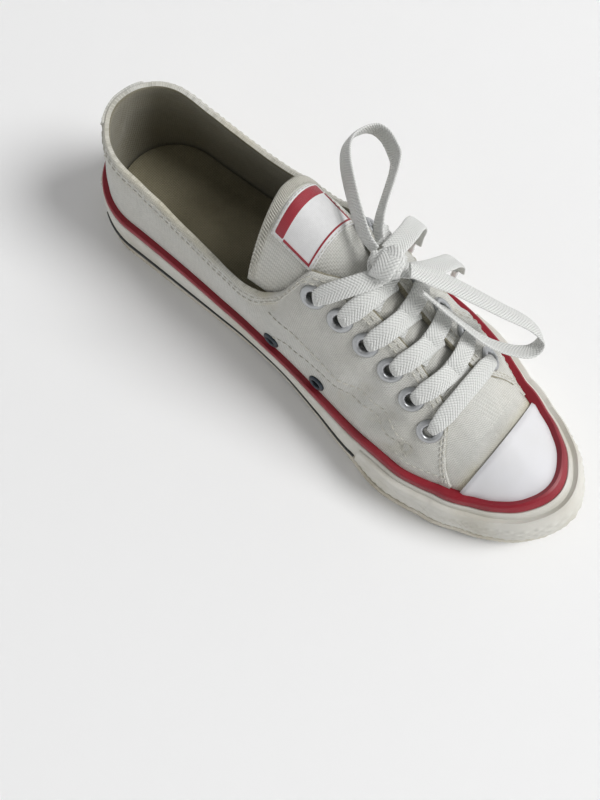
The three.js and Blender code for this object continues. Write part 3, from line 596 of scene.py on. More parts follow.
def braided(name, base, shade, pitch):
    """A flat braid: strands that cross in small chevrons over the lace. pitch is a strand's width in mm."""
    made, tree, shader = start(name, Roughness=0.62, IOR=1.5, Sheen_Weight=0.25, Sheen_Roughness=0.4)
    ways = cloth_ways(tree)
    side = maths(tree, "ABSOLUTE", ways[1])
    waves = []
    for operation, lean in (("ADD", 1.0), ("SUBTRACT", 0.6)):
        slant = maths(tree, operation, ways[0], maths(tree, "MULTIPLY", side, lean))
        wave = maths(tree, "SINE", maths(tree, "MULTIPLY", slant, 1000 * math.pi / pitch))
        waves.append(maths(tree, "ABSOLUTE", wave))
    height = node(tree, "ShaderNodeMix", {0: 0.35, 2: waves[0], 3: waves[1]}).outputs[0]
    bumped(tree, shader, height, 0.9, 0.0004)
    tinted(tree, shader, base, shade, spread(tree, height, 0.1, 0.7, 1.0, 0.0))
    return made


def metal(name, base, roughness, scuffed="#d8d8d6"):
    """A pressed metal ring, with fine scuffs that vary its gloss."""
    made, tree, shader = start(name, Metallic=1.0)
    scuff = noise(tree, 900.0, 3.0)
    rough = spread(tree, scuff, 0.3, 0.7, roughness - 0.08, roughness + 0.12)
    tree.links.new(rough, shader.inputs["Roughness"])
    tinted(tree, shader, base, scuffed, spread(tree, scuff, 0.55, 0.75, 0.0, 0.5))
    return made


def mottled(name, base, other, scale, **values):
    """A material whose colour wanders between two."""
    made, tree, shader = start(name, **values)
    tinted(tree, shader, base, other, noise(tree, scale))
    return made


# Cotton canvas, plain weave: matt and off-white, its threads just show. Real spacing 0.5, drawn at 0.9 mm.
canvas = woven("cotton canvas plain weave", "#dbdbd7", "#b0b1ad", "#b4a984", 0.9, 0.26, 0.92, wear=0.2)
# Cotton lining inside the shoe, drawn as a plain weave: worn and a little yellow, and darker as painted shade
# of the shoe's inside
lining = woven("cotton drill lining", "#97927f", "#736e5c", "#6b654b", 1.0, 0.2, 0.95)
# Cotton sock lining on the insole, dark with wear
sock = woven("cotton sock lining worn", "#a39c83", "#7b755f", "#5d5742", 1.0, 0.25, 0.95)
# Satin-woven patch on the tongue, fine and smooth
patch_cloth = woven("satin woven patch", "#e4e4e4", "#cacaca", "#c1bcae", 0.45, 0.08, 0.6, sheen=0.3)
# Plain red edging of the patch, the same weave
patch_edge = woven("satin woven edging red", "#a01a2c", "#761020", "#5c1019", 0.45, 0.08, 0.6, sheen=0.3)
# Vulcanised natural rubber: warm white and satin, with faint smudges
white_rubber = moulded("vulcanised rubber foxing", "#d3d1c9", "#b3ad9b", 0.5)
# Smooth cured rubber of the toe cap: cooler and glossier, wiped clean
cap_rubber = moulded(
    "smooth cured rubber toe cap", "#dadadd", "#d2d1d0", 0.5, grain=1.5, deep=0.02, coat=0.04
)
# Crimson rubber stripe, satin
red_rubber = moulded("vulcanised rubber crimson", "#8f1426", "#6f0f1e", 0.42, deep=0.02)
# Black rubber pinstripe, satin
black_rubber = moulded("vulcanised rubber black", "#1b1b1d", "#2e2e30", 0.45, deep=0.02)
# Outsole rubber: matt, a little darker and soiled
sole_rubber = moulded("outsole crepe rubber", "#cfcabc", "#9b937b", 0.68, grain=0.9, deep=0.08, smudge=0.8)
# Flat polyester braid, cool white
braid = braided("flat polyester braid", "#dddedb", "#c3c4c1", 1.5)
# Sewing thread, bonded polyester: satin white
thread = mottled(
    "bonded polyester thread", "#d6d4cb", "#b3b0a4", 300.0, Roughness=0.5, IOR=1.5, Sheen_Weight=0.2
)
# Anodised aluminium eyelets, satin grey
aluminium = metal("anodised aluminium satin", "#b4b6b8", 0.38)
# Brass vents, chemically darkened to gunmetal
gunmetal = metal("blackened brass gunmetal", "#43494f", 0.36, scuffed="#6b7074")
# Cellulose acetate film round the lace ends: clear and glossy over white braid
acetate = mottled(
    "cellulose acetate lace tip", "#eef0f0", "#d5d6d4", 250.0,
    Roughness=0.18, IOR=1.48, Coat_Weight=0.4, Coat_Roughness=0.1,
)


def finish_piece(piece, material, replaces=(), more=()):
    """Gives a piece its material and slot, and lets it ride on the shoe."""
    for finish in (material, *more):
        piece.data.materials.append(finish)
    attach(piece, "root")
    if replaces:
        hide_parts(*replaces)
    return piece


# Camera at the picture's angle: high over the medial side, a little from the toe, and rolled
PHOTO_SIZE, FOCAL = (600, 800), 1000.0
EYE = (207.7, -133.9, 461.6)
RIGHT = Vector((0.76689, 0.64147, 0.02011))
DOWN = Vector((0.62542, -0.73994, -0.24766))
FORWARD = Vector((-0.14399, 0.20250, -0.96864))
lens = bpy.data.cameras.new("camera")
lens.sensor_fit = "VERTICAL"
lens.angle = 2 * math.atan(PHOTO_SIZE[1] / 2 / FOCAL)
camera = bpy.data.objects.new("camera", lens)
turned = Matrix((RIGHT, -DOWN, -FORWARD)).transposed()
camera.matrix_world = Matrix.Translation(Vector(placed([EYE])[0])) @ turned.to_4x4()
lens.clip_start, lens.clip_end = 0.02, 20
bpy.context.scene.collection.objects.link(camera)
bpy.context.scene.camera = camera

# A share up the wall, in millimetres, and how much stronger the creases are than their listed depth
WALL_HIGH, CREASE_GAIN = 95.0, 1.9
# Creases of the worn canvas: side, start and end as (x, share up the wall), width and depth in mm
CREASES = [
    (-1, 0.70, 0.30, 0.76, 0.52, 5.0, 1.1),
    (-1, 0.665, 0.34, 0.70, 0.62, 5.6, 1.3),
    (-1, 0.62, 0.36, 0.655, 0.66, 6.2, 1.1),
    (-1, 0.73, 0.42, 0.665, 0.30, 4.5, -0.6),
    (-1, 0.44, 0.42, 0.35, 0.58, 7.0, 1.7),
    (-1, 0.07, 0.50, 0.34, 0.42, 8.0, 1.9),
    (-1, 0.17, 0.40, 0.22, 0.58, 7.0, 1.3),
    (-1, 0.52, 0.30, 0.62, 0.36, 6.0, 0.9),
    (1, 0.69, 0.30, 0.75, 0.56, 5.2, 1.1),
    (1, 0.64, 0.36, 0.68, 0.64, 5.6, 1.2),
    (1, 0.58, 0.34, 0.61, 0.62, 6.4, 0.9),
    (1, 0.40, 0.42, 0.33, 0.60, 7.0, 1.3),
    (1, 0.08, 0.50, 0.30, 0.44, 8.0, 1.4),
    (1, 0.50, 0.30, 0.42, 0.36, 7.0, 0.8),
]


def creased(side, at, v):
    """How far the worn cloth stands in or out, in millimetres."""
    x = x_of(at)
    up = v * WALL_HIGH
    total = 0.42 * np.sin(x / 11.0 + up / 9.0) * np.sin(up / 13.0 - x / 31.0)
    total = total + 0.22 * np.sin(x / 5.3 - up / 6.1 + side)
    total = total + 0.3 * np.sin(x / 7.3 + up / 3.4 + 2 * side) * np.sin(up / 4.7 - x / 9.9)
    total = total + 0.16 * np.sin(x / 2.9 + up / 6.3) * np.sin(up / 2.7 - x / 5.1)
    for mark, x0, v0, x1, v1, width, depth in CREASES:
        a = np.array([x0 * LENGTH, v0 * WALL_HIGH])
        b = np.array([x1 * LENGTH, v1 * WALL_HIGH])
        way = (b - a) / np.linalg.norm(b - a)
        dx, dy = x - a[0], up - a[1]
        run = (dx * way[0] + dy * way[1]) / np.linalg.norm(b - a)
        off = -dx * way[1] + dy * way[0]
        hold = ease(-0.15, 0.25, run) * (1 - ease(0.75, 1.15, run)) * (side == mark)
        trough = bell(off, width)
        ridge = bell(off - width * 1.7, width)
        total = total - CREASE_GAIN * depth * hold * (trough - 0.6 * ridge)
    return total


# Places of the eyelets and vents on the quarters: side, place and share up the wall
eyelet_spots = {}
for row in range(EYELETS):
    for mark in (-1.0, 1.0):
        x = EYELET_X + row * PITCH
        v = float(share_at_reach(mark, along(x), opening_half(x) + INSET))
        eyelet_spots[(mark, row)] = (mark, along(x), v)
VENT_ABOVE_STRIPE = 5.4
vent_height = FOXING_TOP + STRIPE_HIGH + VENT_ABOVE_STRIPE
vent_spots = []
for part in (0.558, 0.45):
    vent_at = along(part * LENGTH)
    vent_spots.append((-1.0, vent_at, float(share_at_height(-1.0, vent_at, vent_height))))
metal_spots = [skin(*spot, QUARTER) for spot in [*eyelet_spots.values(), *vent_spots]]


def cloth_face(side, at, v):
    """Outer face of the worn quarter: how far out, its folds, its hem, and the way down from its edge."""
    side, at, v = together(side, at, v)
    here = skin(side, at, v, QUARTER)
    down = np.linalg.norm(here - skin(side, at, quarter_edge(side, at), QUARTER), axis=-1)
    from_metal = np.min([np.linalg.norm(here - spot, axis=-1) for spot in metal_spots], axis=0)
    held = ease(FOXING_TOP + 3, FOXING_TOP + 14, here[..., 2]) * (0.1 + 0.9 * ease(5, 15, from_metal))
    wing = ease(along(THROAT) - 4, along(THROAT) + 2, at)
    # The hem is folded over once, so the cloth is fuller for 7 mm under the collar
    hem = 0.75 * (1 - ease(6.2, 7.6, down)) * (1 - ease(along(THROAT) - 6, along(THROAT), at))
    rounded = -0.9 * (1 - ease(0, 1.3, down)) ** 2
    folds = creased(side, at, v) * held * (0.35 + 0.65 * ease(2, 14, down)) * (1 - 0.7 * wing)
    return QUARTER + hem + rounded + folds, folds, hem, down


# Quarters: one strip of canvas from the lateral wing round the heel to the medial wing
side, at = behind(along(WING_X), 1.5)
edge = quarter_edge(side, at)
start_v = share_at_height(side, at, FOXING_TOP + 1.5)
low = np.linspace(0, 1, 7)[None, :-1] * start_v
body = 1 - (1 - np.linspace(0, 1, 48)[None]) ** 1.15
quarter_v = np.concatenate([low, start_v + (edge - start_v) * body], 1)
place_x = x_of(at)
face, folds, hem, from_edge = cloth_face(side, at, quarter_v)
outer = skin(side, at, quarter_v, face)
on_wing = ease(along(THROAT) - 4, along(THROAT) + 2, at)
tucked = 0.5 * (1 - ease(0, 1.3, from_edge)) ** 2 - 0.2 * (hem > 0.1)
lined = np.where(on_wing > 0.5, VAMP + 0.04, 0.02 + folds * 0.8 + tucked)
inner = skin(side, at, quarter_v, lined)
on_collar = 1 - 0.8 * ease(LOBE_X - 5, LOBE_X + 20, place_x)
above_line = skin(side, at, quarter_v, 0)[..., 2] - FOXING_TOP - STRIPE_HIGH
# Darker canvas: dirt along the collar's edge and just above the foxing, and painted shade in a thin line
# under the hem's folded edge and in the troughs of the creases.
soil_and_shade = 0.45 * (1 - ease(0, 4, from_edge)) * on_collar + 0.3 * (1 - ease(0, 9, above_line))
soil_and_shade = soil_and_shade + 0.5 * bell(from_edge - 7.8, 1.2) * on_collar + 0.35 * np.clip(-folds - 0.3, 0, 1)
EYELET_GAP, VENT_GAP = 3.9, 3.3
middles = (outer[:-1, :-1] + outer[1:, :-1] + outer[1:, 1:] + outer[:-1, 1:]) / 4
gaps = np.zeros(middles.shape[:2], bool)
for number, spot in enumerate(metal_spots):
    gaps |= np.linalg.norm(middles - spot, axis=-1) < (EYELET_GAP if number < 2 * EYELETS else VENT_GAP)
quarters = shell("canvas_quarters", outer, inner, cloth_grid(outer), np.clip(soil_and_shade, 0, 1), gaps=gaps)
finish_piece(quarters, canvas, ["upper"], more=[lining])


# A face looks into the shoe when its normal points this far against the way out
INWARD = -0.25


def line_inside(piece, depth):
    """Gives the faces of a skin that look into the shoe its second material."""
    mesh = piece.data
    for face in mesh.polygons:
        x, y, z = np.array(face.center) * 1000 + np.array([MIDDLE_X, MIDDLE_Y, 0])
        held_x = min(max(x, HEEL_X), TOE_X)
        middle = np.array([held_x, float(middle_at(held_x))])
        away = np.array([x, y]) - middle
        size = np.linalg.norm(away)
        if size > 4 and (away[0] * face.normal.x + away[1] * face.normal.y) / size < depth:
            face.material_index = 1


line_inside(quarters, INWARD)

# Vamp: canvas over the toes, from under the throat to under the toe cap
side, at = ahead(along(THROAT) - 6, 1.5)
vamp_v = np.linspace(0, 1, 46)[None] * np.ones_like(at)
to_cap = CAP_EDGE - skin(side, at, vamp_v, VAMP)[..., 0]
folds = creased(side, at, vamp_v) * ease(0.22, 0.4, vamp_v) * (1 - ease(0.8, 0.98, vamp_v))
folds = folds * ease(1, 8, to_cap) * 0.5
outer = skin(side, at, vamp_v, VAMP + folds)
inner = skin(side, at, vamp_v, 0)
# The canvas is darker in a thin line along the toe cap's rear edge, and a little darker for 14 mm behind it.
near_cap = 0.9 * bell(to_cap, 2.4) + 0.35 * (1 - ease(0, 14, to_cap))
near_cap = np.clip(near_cap, 0, 1)
vamp = shell("canvas_vamp", outer, inner, cloth_grid(outer), near_cap, open_sides=("top",))
finish_piece(vamp, canvas, more=[lining])
line_inside(vamp, INWARD)


def cut_behind(piece, x):
    """Takes off what lies behind a cross plane and closes the cut."""
    work = bmesh.new()
    work.from_mesh(piece.data)
    parts = [*work.verts, *work.edges, *work.faces]
    spot = placed([(x, 0, 0)])[0]
    bmesh.ops.bisect_plane(work, geom=parts, dist=1e-6, plane_co=spot, plane_no=(1, 0, 0), clear_inner=True)
    bmesh.ops.holes_fill(work, edges=[edge for edge in work.edges if edge.is_boundary], sides=0)
    bmesh.ops.recalc_face_normals(work, faces=work.faces)
    work.to_mesh(piece.data)
    work.free()
    piece.data.set_sharp_from_angle(angle=math.radians(38))


# Toe cap: smooth rubber with a straight rear edge, thinned there to a soft lip
side, at = ahead(along(CAP_X), 1.2)
cap_v = np.linspace(0, 1, 50)[None] * np.ones_like(at)
past_edge = skin(side, at, cap_v, VAMP + CAP)[..., 0] - CAP_EDGE
lip = 1 - 0.55 * (1 - ease(0, 2.4, past_edge)) ** 2
crown = 0.35 * ease(0.3, 1, cap_v) * ease(0, 20, past_edge)
outer = skin(side, at, cap_v, VAMP + GAP + CAP * lip + crown)
inner = skin(side, at, cap_v, VAMP + GAP * 0.3)
cap = shell("toe_cap_rubber", outer, inner, cloth_grid(outer), open_sides=("top",))
cut_behind(cap, CAP_EDGE)
finish_piece(cap, cap_rubber, ["toe_cap"])


def over_heel(degrees, count):
    """Places across the heel seam, from the lateral side to the medial side."""
    ats = np.linspace(-heel(degrees), heel(degrees), count)
    return np.where(ats < 0, 1.0, -1.0)[:, None], np.abs(ats)[:, None]


# Heel stay: a strip of canvas over the heel seam
side, at = over_heel(30, 30)
top = quarter_edge(side, at) - 0.004
foot = share_at_height(side, at, FOXING_TOP + 1.5)
stay_v = foot + (top - foot) * np.linspace(0, 1, 34)[None]
round_edge = 0.5 * (1 - ease(0, 1.4, heel(30) - at)) ** 2
under_stay = cloth_face(side, at, stay_v)[0]
outer = skin(side, at, stay_v, under_stay + STAY - round_edge)
inner = skin(side, at, stay_v, under_stay - 0.5)
stay_soil = 0.3 * (1 - ease(0, 12, skin(side, at, stay_v, 0)[..., 2] - 29))
stay = shell("canvas_heel_stay", outer, inner, cloth_grid(outer)[..., ::-1], stay_soil)
finish_piece(stay, canvas, ["heel_stay"])


def belt(name, places, heights, inner, outer, relief=None, open_sides=(), sharp=40):
    """A rubber band round the shoe between two heights, with rounded edges and its own relief."""
    side, at = places
    heights = np.asarray(heights, float)
    v = share_at_height(side, at, heights[None])
    span = heights[-1] - heights[0]
    near = np.minimum(heights - heights[0], heights[-1] - heights)[None]
    soft = 0.55 * (1 - ease(0, min(1.0, span * 0.3), near)) ** 2
    out = outer(at) - soft
    if relief is not None:
        out = out + relief(side, at, heights[None])
    outer_points = skin(side, at, v, out)
    inner_points = skin(side, at, v, inner(at) + 0 * heights[None])
    cloth = cloth_grid(outer_points)
    return shell(name, outer_points, inner_points, cloth, open_sides=open_sides, sharp=sharp)


def tight_rows(low, high, count, edge=1.0):
    """Heights from low to high, closer near both edges so that they can be rounded."""
    inside = np.linspace(low + edge, high - edge, count)
    foot = [low, low + edge * 0.35, low + edge * 0.7]
    head = [high - edge * 0.7, high - edge * 0.35, high]
    return np.concatenate([foot, inside, head])


def foxing_outer(at):
    return stack_at(at) + FOXING


# Foxing: a wrapped strip, slightly full, with a small step where it overlaps on the medial side
everywhere = round_places(0, END, 1.6, whole=True)


def foxing_relief(side, at, height):
    full = 0.25 * np.sin(math.pi * np.clip((height - 7) / 18, 0, 1))
    step = 0.35 * (ease(along(0.665 * LENGTH), along(0.665 * LENGTH) + 1.2, at)) * (side < 0)
    step = step * (1 - ease(along(BUMPER_X) - 4, along(BUMPER_X), at))
    return full - step * 0.6


foxing = belt(
    "foxing_rubber",
    everywhere,
    tight_rows(OUTSOLE + GAP, FOXING_TOP, 8),
    stack_at,
    foxing_outer,
    foxing_relief,
    open_sides=("start", "end"),
)
finish_piece(foxing, white_rubber, ["foxing"])

# Crimson stripe on the foxing's upper edge
stripe = belt(
    "crimson_stripe",
    everywhere,
    tight_rows(FOXING_TOP + 0.1, FOXING_TOP + STRIPE_HIGH, 4, 0.8),
    lambda at: VAMP + 0.1 + 0 * at,
    lambda at: stack_at(at) + STRIPE,
    open_sides=("start", "end"),
)
finish_piece(stripe, red_rubber, ["red_stripe"])

# Toe bumper: small diamonds round the toe, slanted ribs at both sides, and a plain band above
BUMPER_LOW, BUMPER_HIGH = 7.4, 22.5


def bumper_relief(side, at, height):
    run = (END - at) * side
    ends = ease(along(BUMPER_X), along(BUMPER_X) + 4, at)
    patterned = ease(8.2, 8.8, height) * (1 - ease(18.8, 19.4, height))
    diamond = np.abs(np.mod(run / 5.0, 1) * 2 - 1) + np.abs(np.mod(height / 4.0, 1) * 2 - 1)
    diamond = 0.9 * (np.abs(1 - diamond) - 0.3)
    slant = np.abs(run) / 3.4 - height / 3.4
    ribs = 0.8 * (np.abs(np.mod(slant, 1) * 2 - 1) - 0.6)
    front = 1 - ease(60, 66, np.abs(run))
    return patterned * ends * (diamond * front + ribs * (1 - front)) - 0.25 * (1 - patterned) * (height < 12)


def bumper_face(at):
    return foxing_outer(at) + GAP + 1.2 + (BUMPER - 1.2) * ease(along(BUMPER_X) - 1, along(BUMPER_X) + 14, at)


bumper = belt(
    "toe_bumper_rubber",
    ahead(along(BUMPER_X), 0.8),
    tight_rows(BUMPER_LOW, BUMPER_HIGH, 26, 0.9),
    lambda at: foxing_outer(at) + 0.05,
    bumper_face,
    bumper_relief,
    sharp=60,
)
finish_piece(bumper, white_rubber, ["toe_bumper"])

# Black pinstripes, low on the foxing from the heel plate to the bumper
for name, mark in (("medial", -1.0), ("lateral", 1.0)):
    ats = np.linspace(heel(54), along(BUMPER_X) - 1.2, 150)[:, None]
    if mark > 0:
        ats = ats[::-1]
    line = belt(
        f"pinstripe_{name}",
        (np.full_like(ats, mark), ats),
        tight_rows(8.0, 10.6, 3, 0.6),
        lambda at: foxing_outer(at) - 0.1,
        lambda at: foxing_outer(at) + GAP + LINE,
    )
    finish_piece(line, black_rubber, [f"black_stripe_{name}"])


# Heel plate: bare, with a raised rim
PLATE_LOW, PLATE_HIGH, PLATE_DEGREES = 7.5, 21, 36


def plate_relief(side, at, height):
    rim = np.minimum(np.minimum(height - PLATE_LOW, PLATE_HIGH - height), heel(PLATE_DEGREES) - at)
    return 0.35 * (1 - ease(1.2, 1.8, rim)) - 0.1


plate = belt(
    "heel_plate_rubber",
    over_heel(PLATE_DEGREES, 46),
    tight_rows(PLATE_LOW, PLATE_HIGH, 14, 0.9),
    lambda at: foxing_outer(at) + 0.05,
    lambda at: foxing_outer(at) + GAP + PLATE,
    plate_relief,
)
finish_piece(plate, white_rubber, ["heel_plate"])


# Outsole: a ribbed edge and a tread of fine waves under heel and forefoot
def sole_reach(at):
    front = ease(along(BUMPER_X) - 8, along(BUMPER_X) + 14, at)
    return foxing_outer(at) + 0.6 + front * (GAP + BUMPER)


def middle_line(side, at):
    """Points on the ground under the middle line."""
    x = stand(side, at)[0]
    return np.stack([x, middle_at(x), np.zeros_like(x)], -1)[:, 0]


side, at = round_places(0, END, 0.9, whole=True)
run = np.where(side < 0, at, 2 * END - at)
rib = 0.28 * np.clip(np.sin(run / 2.2 * 2 * math.pi), -0.3, 1)
rim = skin(side, at, 0, sole_reach(at))
centre = middle_line(side, at)[:, None]
outward = rim - centre
outward[..., 2] = 0
outward /= np.linalg.norm(outward, axis=-1, keepdims=True)
level = np.minimum(rim[..., 0], last(side, at, 0)[..., 0])
base = floor_at(level)
# The edge's profile: step in, height and share of the ribs
SOLE_TOP = 6.45
profile = [
    (-1.0, 0.0, 0), (-0.3, 0.25, 0), (0.0, 0.9, 0.4), (0.0, 2.2, 1),
    (0.0, 4.3, 1), (0.0, 5.4, 0.4), (-0.35, 6.1, 0), (-1.1, SOLE_TOP, 0),
]
rings = []
for step_in, up, ribbed in profile:
    spot = rim + outward * (step_in + ribbed * rib[..., None] - 0.05)
    spot[..., 2] = base + up
    rings.append(spot[:, 0])
inner_line = rim + outward * (-9.0)
inner_line[..., 2] = base + SOLE_TOP
rings.append(inner_line[:, 0])
wall = np.stack(rings, 1)
bottom = []
for part in np.linspace(0, 1, 44) ** 0.9:
    spot = rim + outward * (-1.0)
    spot = spot + (centre - spot) * part
    x = np.minimum(spot[..., 0], level)
    zone = ease(10, 14, x) * (1 - ease(70, 74, x)) + ease(160, 164, x) * (1 - ease(230, 236, x))
    inside = ease(3, 6, np.linalg.norm((spot - rim)[..., :2], axis=-1))
    wave = spot[..., 0] / 4.5 + 0.35 * np.abs(np.mod(spot[..., 1] / 9.0, 1) * 2 - 1)
    cut = ease(0.52, 0.66, np.abs(np.mod(wave, 1) * 2 - 1))
    spot[..., 2] = floor_at(x) + 1.5 * cut * zone * inside
    bottom.append(spot[:, 0])
bottom = np.stack(bottom[::-1], 1)
lid = []
for part in np.linspace(0, 1, 5)[1:]:
    spot = inner_line + (centre - inner_line) * part
    spot[..., 2] = floor_at(np.minimum(spot[..., 0], level)) + SOLE_TOP
    lid.append(spot[:, 0])
surface = np.concatenate([bottom, wall[:, 1:], np.stack(lid, 1)], 1)
columns, rows = surface.shape[:2]
index = np.arange(columns * rows).reshape(columns, rows)
faces = squares_of(index).reshape(-1, 4)
uv = cloth_grid(surface).reshape(-1, 2)
outsole = build("outsole_rubber", surface.reshape(-1, 3), faces, uv, sharp=35)
finish_piece(outsole, sole_rubber, ["outsole"])

# Insole: a soft slab with a dished top
side, at = round_places(0, END, 2.0, whole=True)
foot = skin(side, at, 0, -0.9)[:, 0]
centre = middle_line(side, at)
top, bottom = [], []
for part in np.linspace(0, 1, 16):
    spot = foot + (centre - foot) * part
    x = np.minimum(spot[:, 0], last(side, at, 0)[:, 0, 0])
    dish = 1.2 * (1 - ease(0, 0.35, part)) - 0.5 * (1 - ease(0, 0.05, part))
    puff = 0.25 * np.sin(spot[:, 0] / 17.0) * np.sin(spot[:, 1] / 14.0)
    spot = spot.copy()
    spot[:, 2] = floor_at(x) + OUTSOLE + GAP + 5.0 + dish + puff * min(1, part * 4)
    top.append(spot)
    under = spot.copy()
    under[:, 2] = floor_at(x) + OUTSOLE + GAP * 0.4
    bottom.append(under)
top, bottom = np.stack(top, 1), np.stack(bottom, 1)
HEEL_WEAR_X, BALL_WEAR_X = 50, 175
wear = bell(top[..., 0] - HEEL_WEAR_X, 30) + 0.6 * bell(top[..., 0] - BALL_WEAR_X, 30)
wear = np.clip(wear, 0, 1)
round_sides = ("top", "start", "end")
insole = shell("sock_lining_insole", top, bottom, top[..., :2].copy(), wear, open_sides=round_sides)
finish_piece(insole, sock, ["insole"])

# Tongue: two layers of canvas, a little padded, with an overlocked top edge
steps, wide = 74, 40
portion = np.linspace(0, 1, steps)[:, None]
across = np.linspace(-1, 1, wide)[None]
x = TONGUE_BACK + (TONGUE_FRONT - TONGUE_BACK) * portion + 0 * across
half = column(TONGUE_HALF, portion) * BALL
y = across * half
thin = 1 - 0.75 * np.maximum(np.abs(across) ** 8, (1 - ease(0, 0.03, portion)) ** 2)
wrinkle = 0.25 * np.sin(x / 6.0 + y / 9.0) * np.sin(y / 7.0) * ease(0, 0.2, portion)
mid_out = -TONGUE_GAP - TONGUE / 2
outer = over(x, y, mid_out + TONGUE / 2 * thin + wrinkle * 0.6)
inner = over(x, y, mid_out - TONGUE / 2 * thin + wrinkle * 0.6)
tongue_soil = 0.4 * (1 - ease(0, 0.12, portion)) + 0 * across
tongue = shell("canvas_tongue", outer, inner, np.stack([x, y], -1), tongue_soil)
finish_piece(tongue, canvas, ["tongue"])

# Patch on the tongue: plain, with a plain red edging along its rear
label_back = TONGUE_BACK + 5
base_out = -TONGUE_GAP + GAP


def patch_piece(name, box, thick, material, replaces=()):
    """A flat piece on the tongue. box is its rear, front, medial and lateral limit."""
    x0, x1, y0, y1 = box
    rows_x = np.linspace(x0, x1, 24)[:, None]
    rows_y = np.linspace(y0, y1, 30)[None]
    x, y = rows_x + 0 * rows_y, rows_y + 0 * rows_x
    near = np.minimum(np.minimum(x - x0, x1 - x), np.minimum(y - y0, y1 - y))
    soft = 0.3 * (1 - ease(0, 0.8, near))
    outer = over(x, y, base_out + thick - soft)
    inner = over(x, y, base_out - 0.25 + 0 * x)
    piece = shell(name, outer, inner, np.stack([x, y], -1), 0 * x)
    return finish_piece(piece, material, replaces)


PATCH_HALF, BORDER_HALF, BORDER_INNER = 14, 13.1, 12.4
band_front, border_rear, border_front = label_back + 5.6, label_back + 18.5, label_back + 19.2
whole_patch = (label_back, label_back + 21, -PATCH_HALF, PATCH_HALF)
rear_band = (label_back + 0.9, band_front, -BORDER_HALF, BORDER_HALF)
patch_piece("tongue_patch", whole_patch, 0.75, patch_cloth, ["tongue_label"])
patch_piece("tongue_patch_edging", rear_band, 0.95, patch_edge)
for number, box in enumerate((
    (border_rear, border_front, -BORDER_HALF, BORDER_HALF),
    (band_front, border_front, -BORDER_HALF, -BORDER_INNER),
    (band_front, border_front, BORDER_INNER, BORDER_HALF),
)):
    patch_piece(f"tongue_patch_line_{number + 1}", box, 1.2, patch_edge)

# Eyelets and vents: rolled rings, hollow in the middle
rolled = [
    (2.7, -2.0), (2.7, 0.4), (3.0, 1.0), (3.7, 1.35), (4.5, 1.3), (5.2, 0.95), (5.7, 0.4), (5.8, -0.1),
    (5.6, -0.3), (3.3, -0.3), (3.1, -2.0),
]
small = [
    (2.2, -2.0), (2.2, 0.4), (2.5, 0.8), (3.1, 0.95), (3.8, 0.75), (4.3, 0.2), (4.25, -0.2), (2.7, -0.25),
    (2.6, -2.0),
]
for (mark, row), spot in eyelet_spots.items():
    word = "medial" if mark < 0 else "lateral"
    ring = lathe(f"eyelet_ring_{word}_{row + 1}", [spot], rolled, QUARTER + 0.2)
    finish_piece(ring, aluminium, [f"eyelet_{word}_{row + 1}"])
for number, spot in enumerate(vent_spots):
    ring = lathe(f"vent_ring_{number + 1}", [spot], small, QUARTER + 0.2)
    finish_piece(ring, gunmetal, [f"vent_eyelet_{number + 1}"])


# Laces on the facings
EYELET_HIGH, LACE_LIFT, BAR_DIP = 1.3, 0.9, 1.2
ON_EYELET = QUARTER + GAP + EYELET_HIGH + LACE_LIFT + LACE_THICK / 2
ON_TONGUE = -TONGUE_GAP + GAP + LACE_THICK / 2 + 0.5


# How a lace comes up out of its eyelet: steps forward and up from the eyelet's middle
HOOK = ((0.4, -5.2), (0.6, -2.6), (1.5, -0.6))


def eyelet_xy(mark, row):
    x = EYELET_X + row * PITCH
    return x, mark * (float(opening_half(x)) + INSET)


def strand(start_xy, end_xy, rise):
    """A run of lace over the foot, which comes up out of its eyelet."""
    t = np.linspace(0, 1, 44)
    x = start_xy[0] + (end_xy[0] - start_xy[0]) * t
    y = start_xy[1] + (end_xy[1] - start_xy[1]) * t
    path = over(x, y, rise(t))
    normal = over(x, y, rise(t) + 1) - path
    way = np.array([end_xy[0] - start_xy[0], end_xy[1] - start_xy[1], 0.0])
    across = np.cross(normal, way)
    across /= np.linalg.norm(across, axis=1, keepdims=True)
    forward = way / np.linalg.norm(way)
    up = normal[0] / np.linalg.norm(normal[0])
    hook = [path[0] + forward * step + up * lift for step, lift in HOOK]
    path = np.concatenate([hook, path[4:]])
    across = np.concatenate([[across[0]] * 3, across[4:]])
    return path, across


def lace_run(name, start_xy, end_xy, rise, widths, replaces=(), both=False):
    path, across = strand(start_xy, end_xy, rise)
    if both:
        middle = len(path) // 2
        tail, tail_across = strand(end_xy, start_xy, rise)
        path = np.concatenate([path[: middle - 2], tail[: middle - 2][::-1]])
        across = np.concatenate([across[: middle - 2], -tail_across[: middle - 2][::-1]])
    path = smooth(path, 60)
    spots = np.linspace(0, 1, len(across))
    fine = np.linspace(0, 1, 60)
    across = np.stack([np.interp(fine, spots, across[:, k]) for k in range(3)], 1)
    width = np.interp(fine, widths[0], widths[1])
    piece = ribbon(name, path, across, width, LACE_THICK)
    return finish_piece(piece, braid, replaces)


def bar_rise(t):
    return ON_EYELET - BAR_DIP * np.sin(math.pi * t)


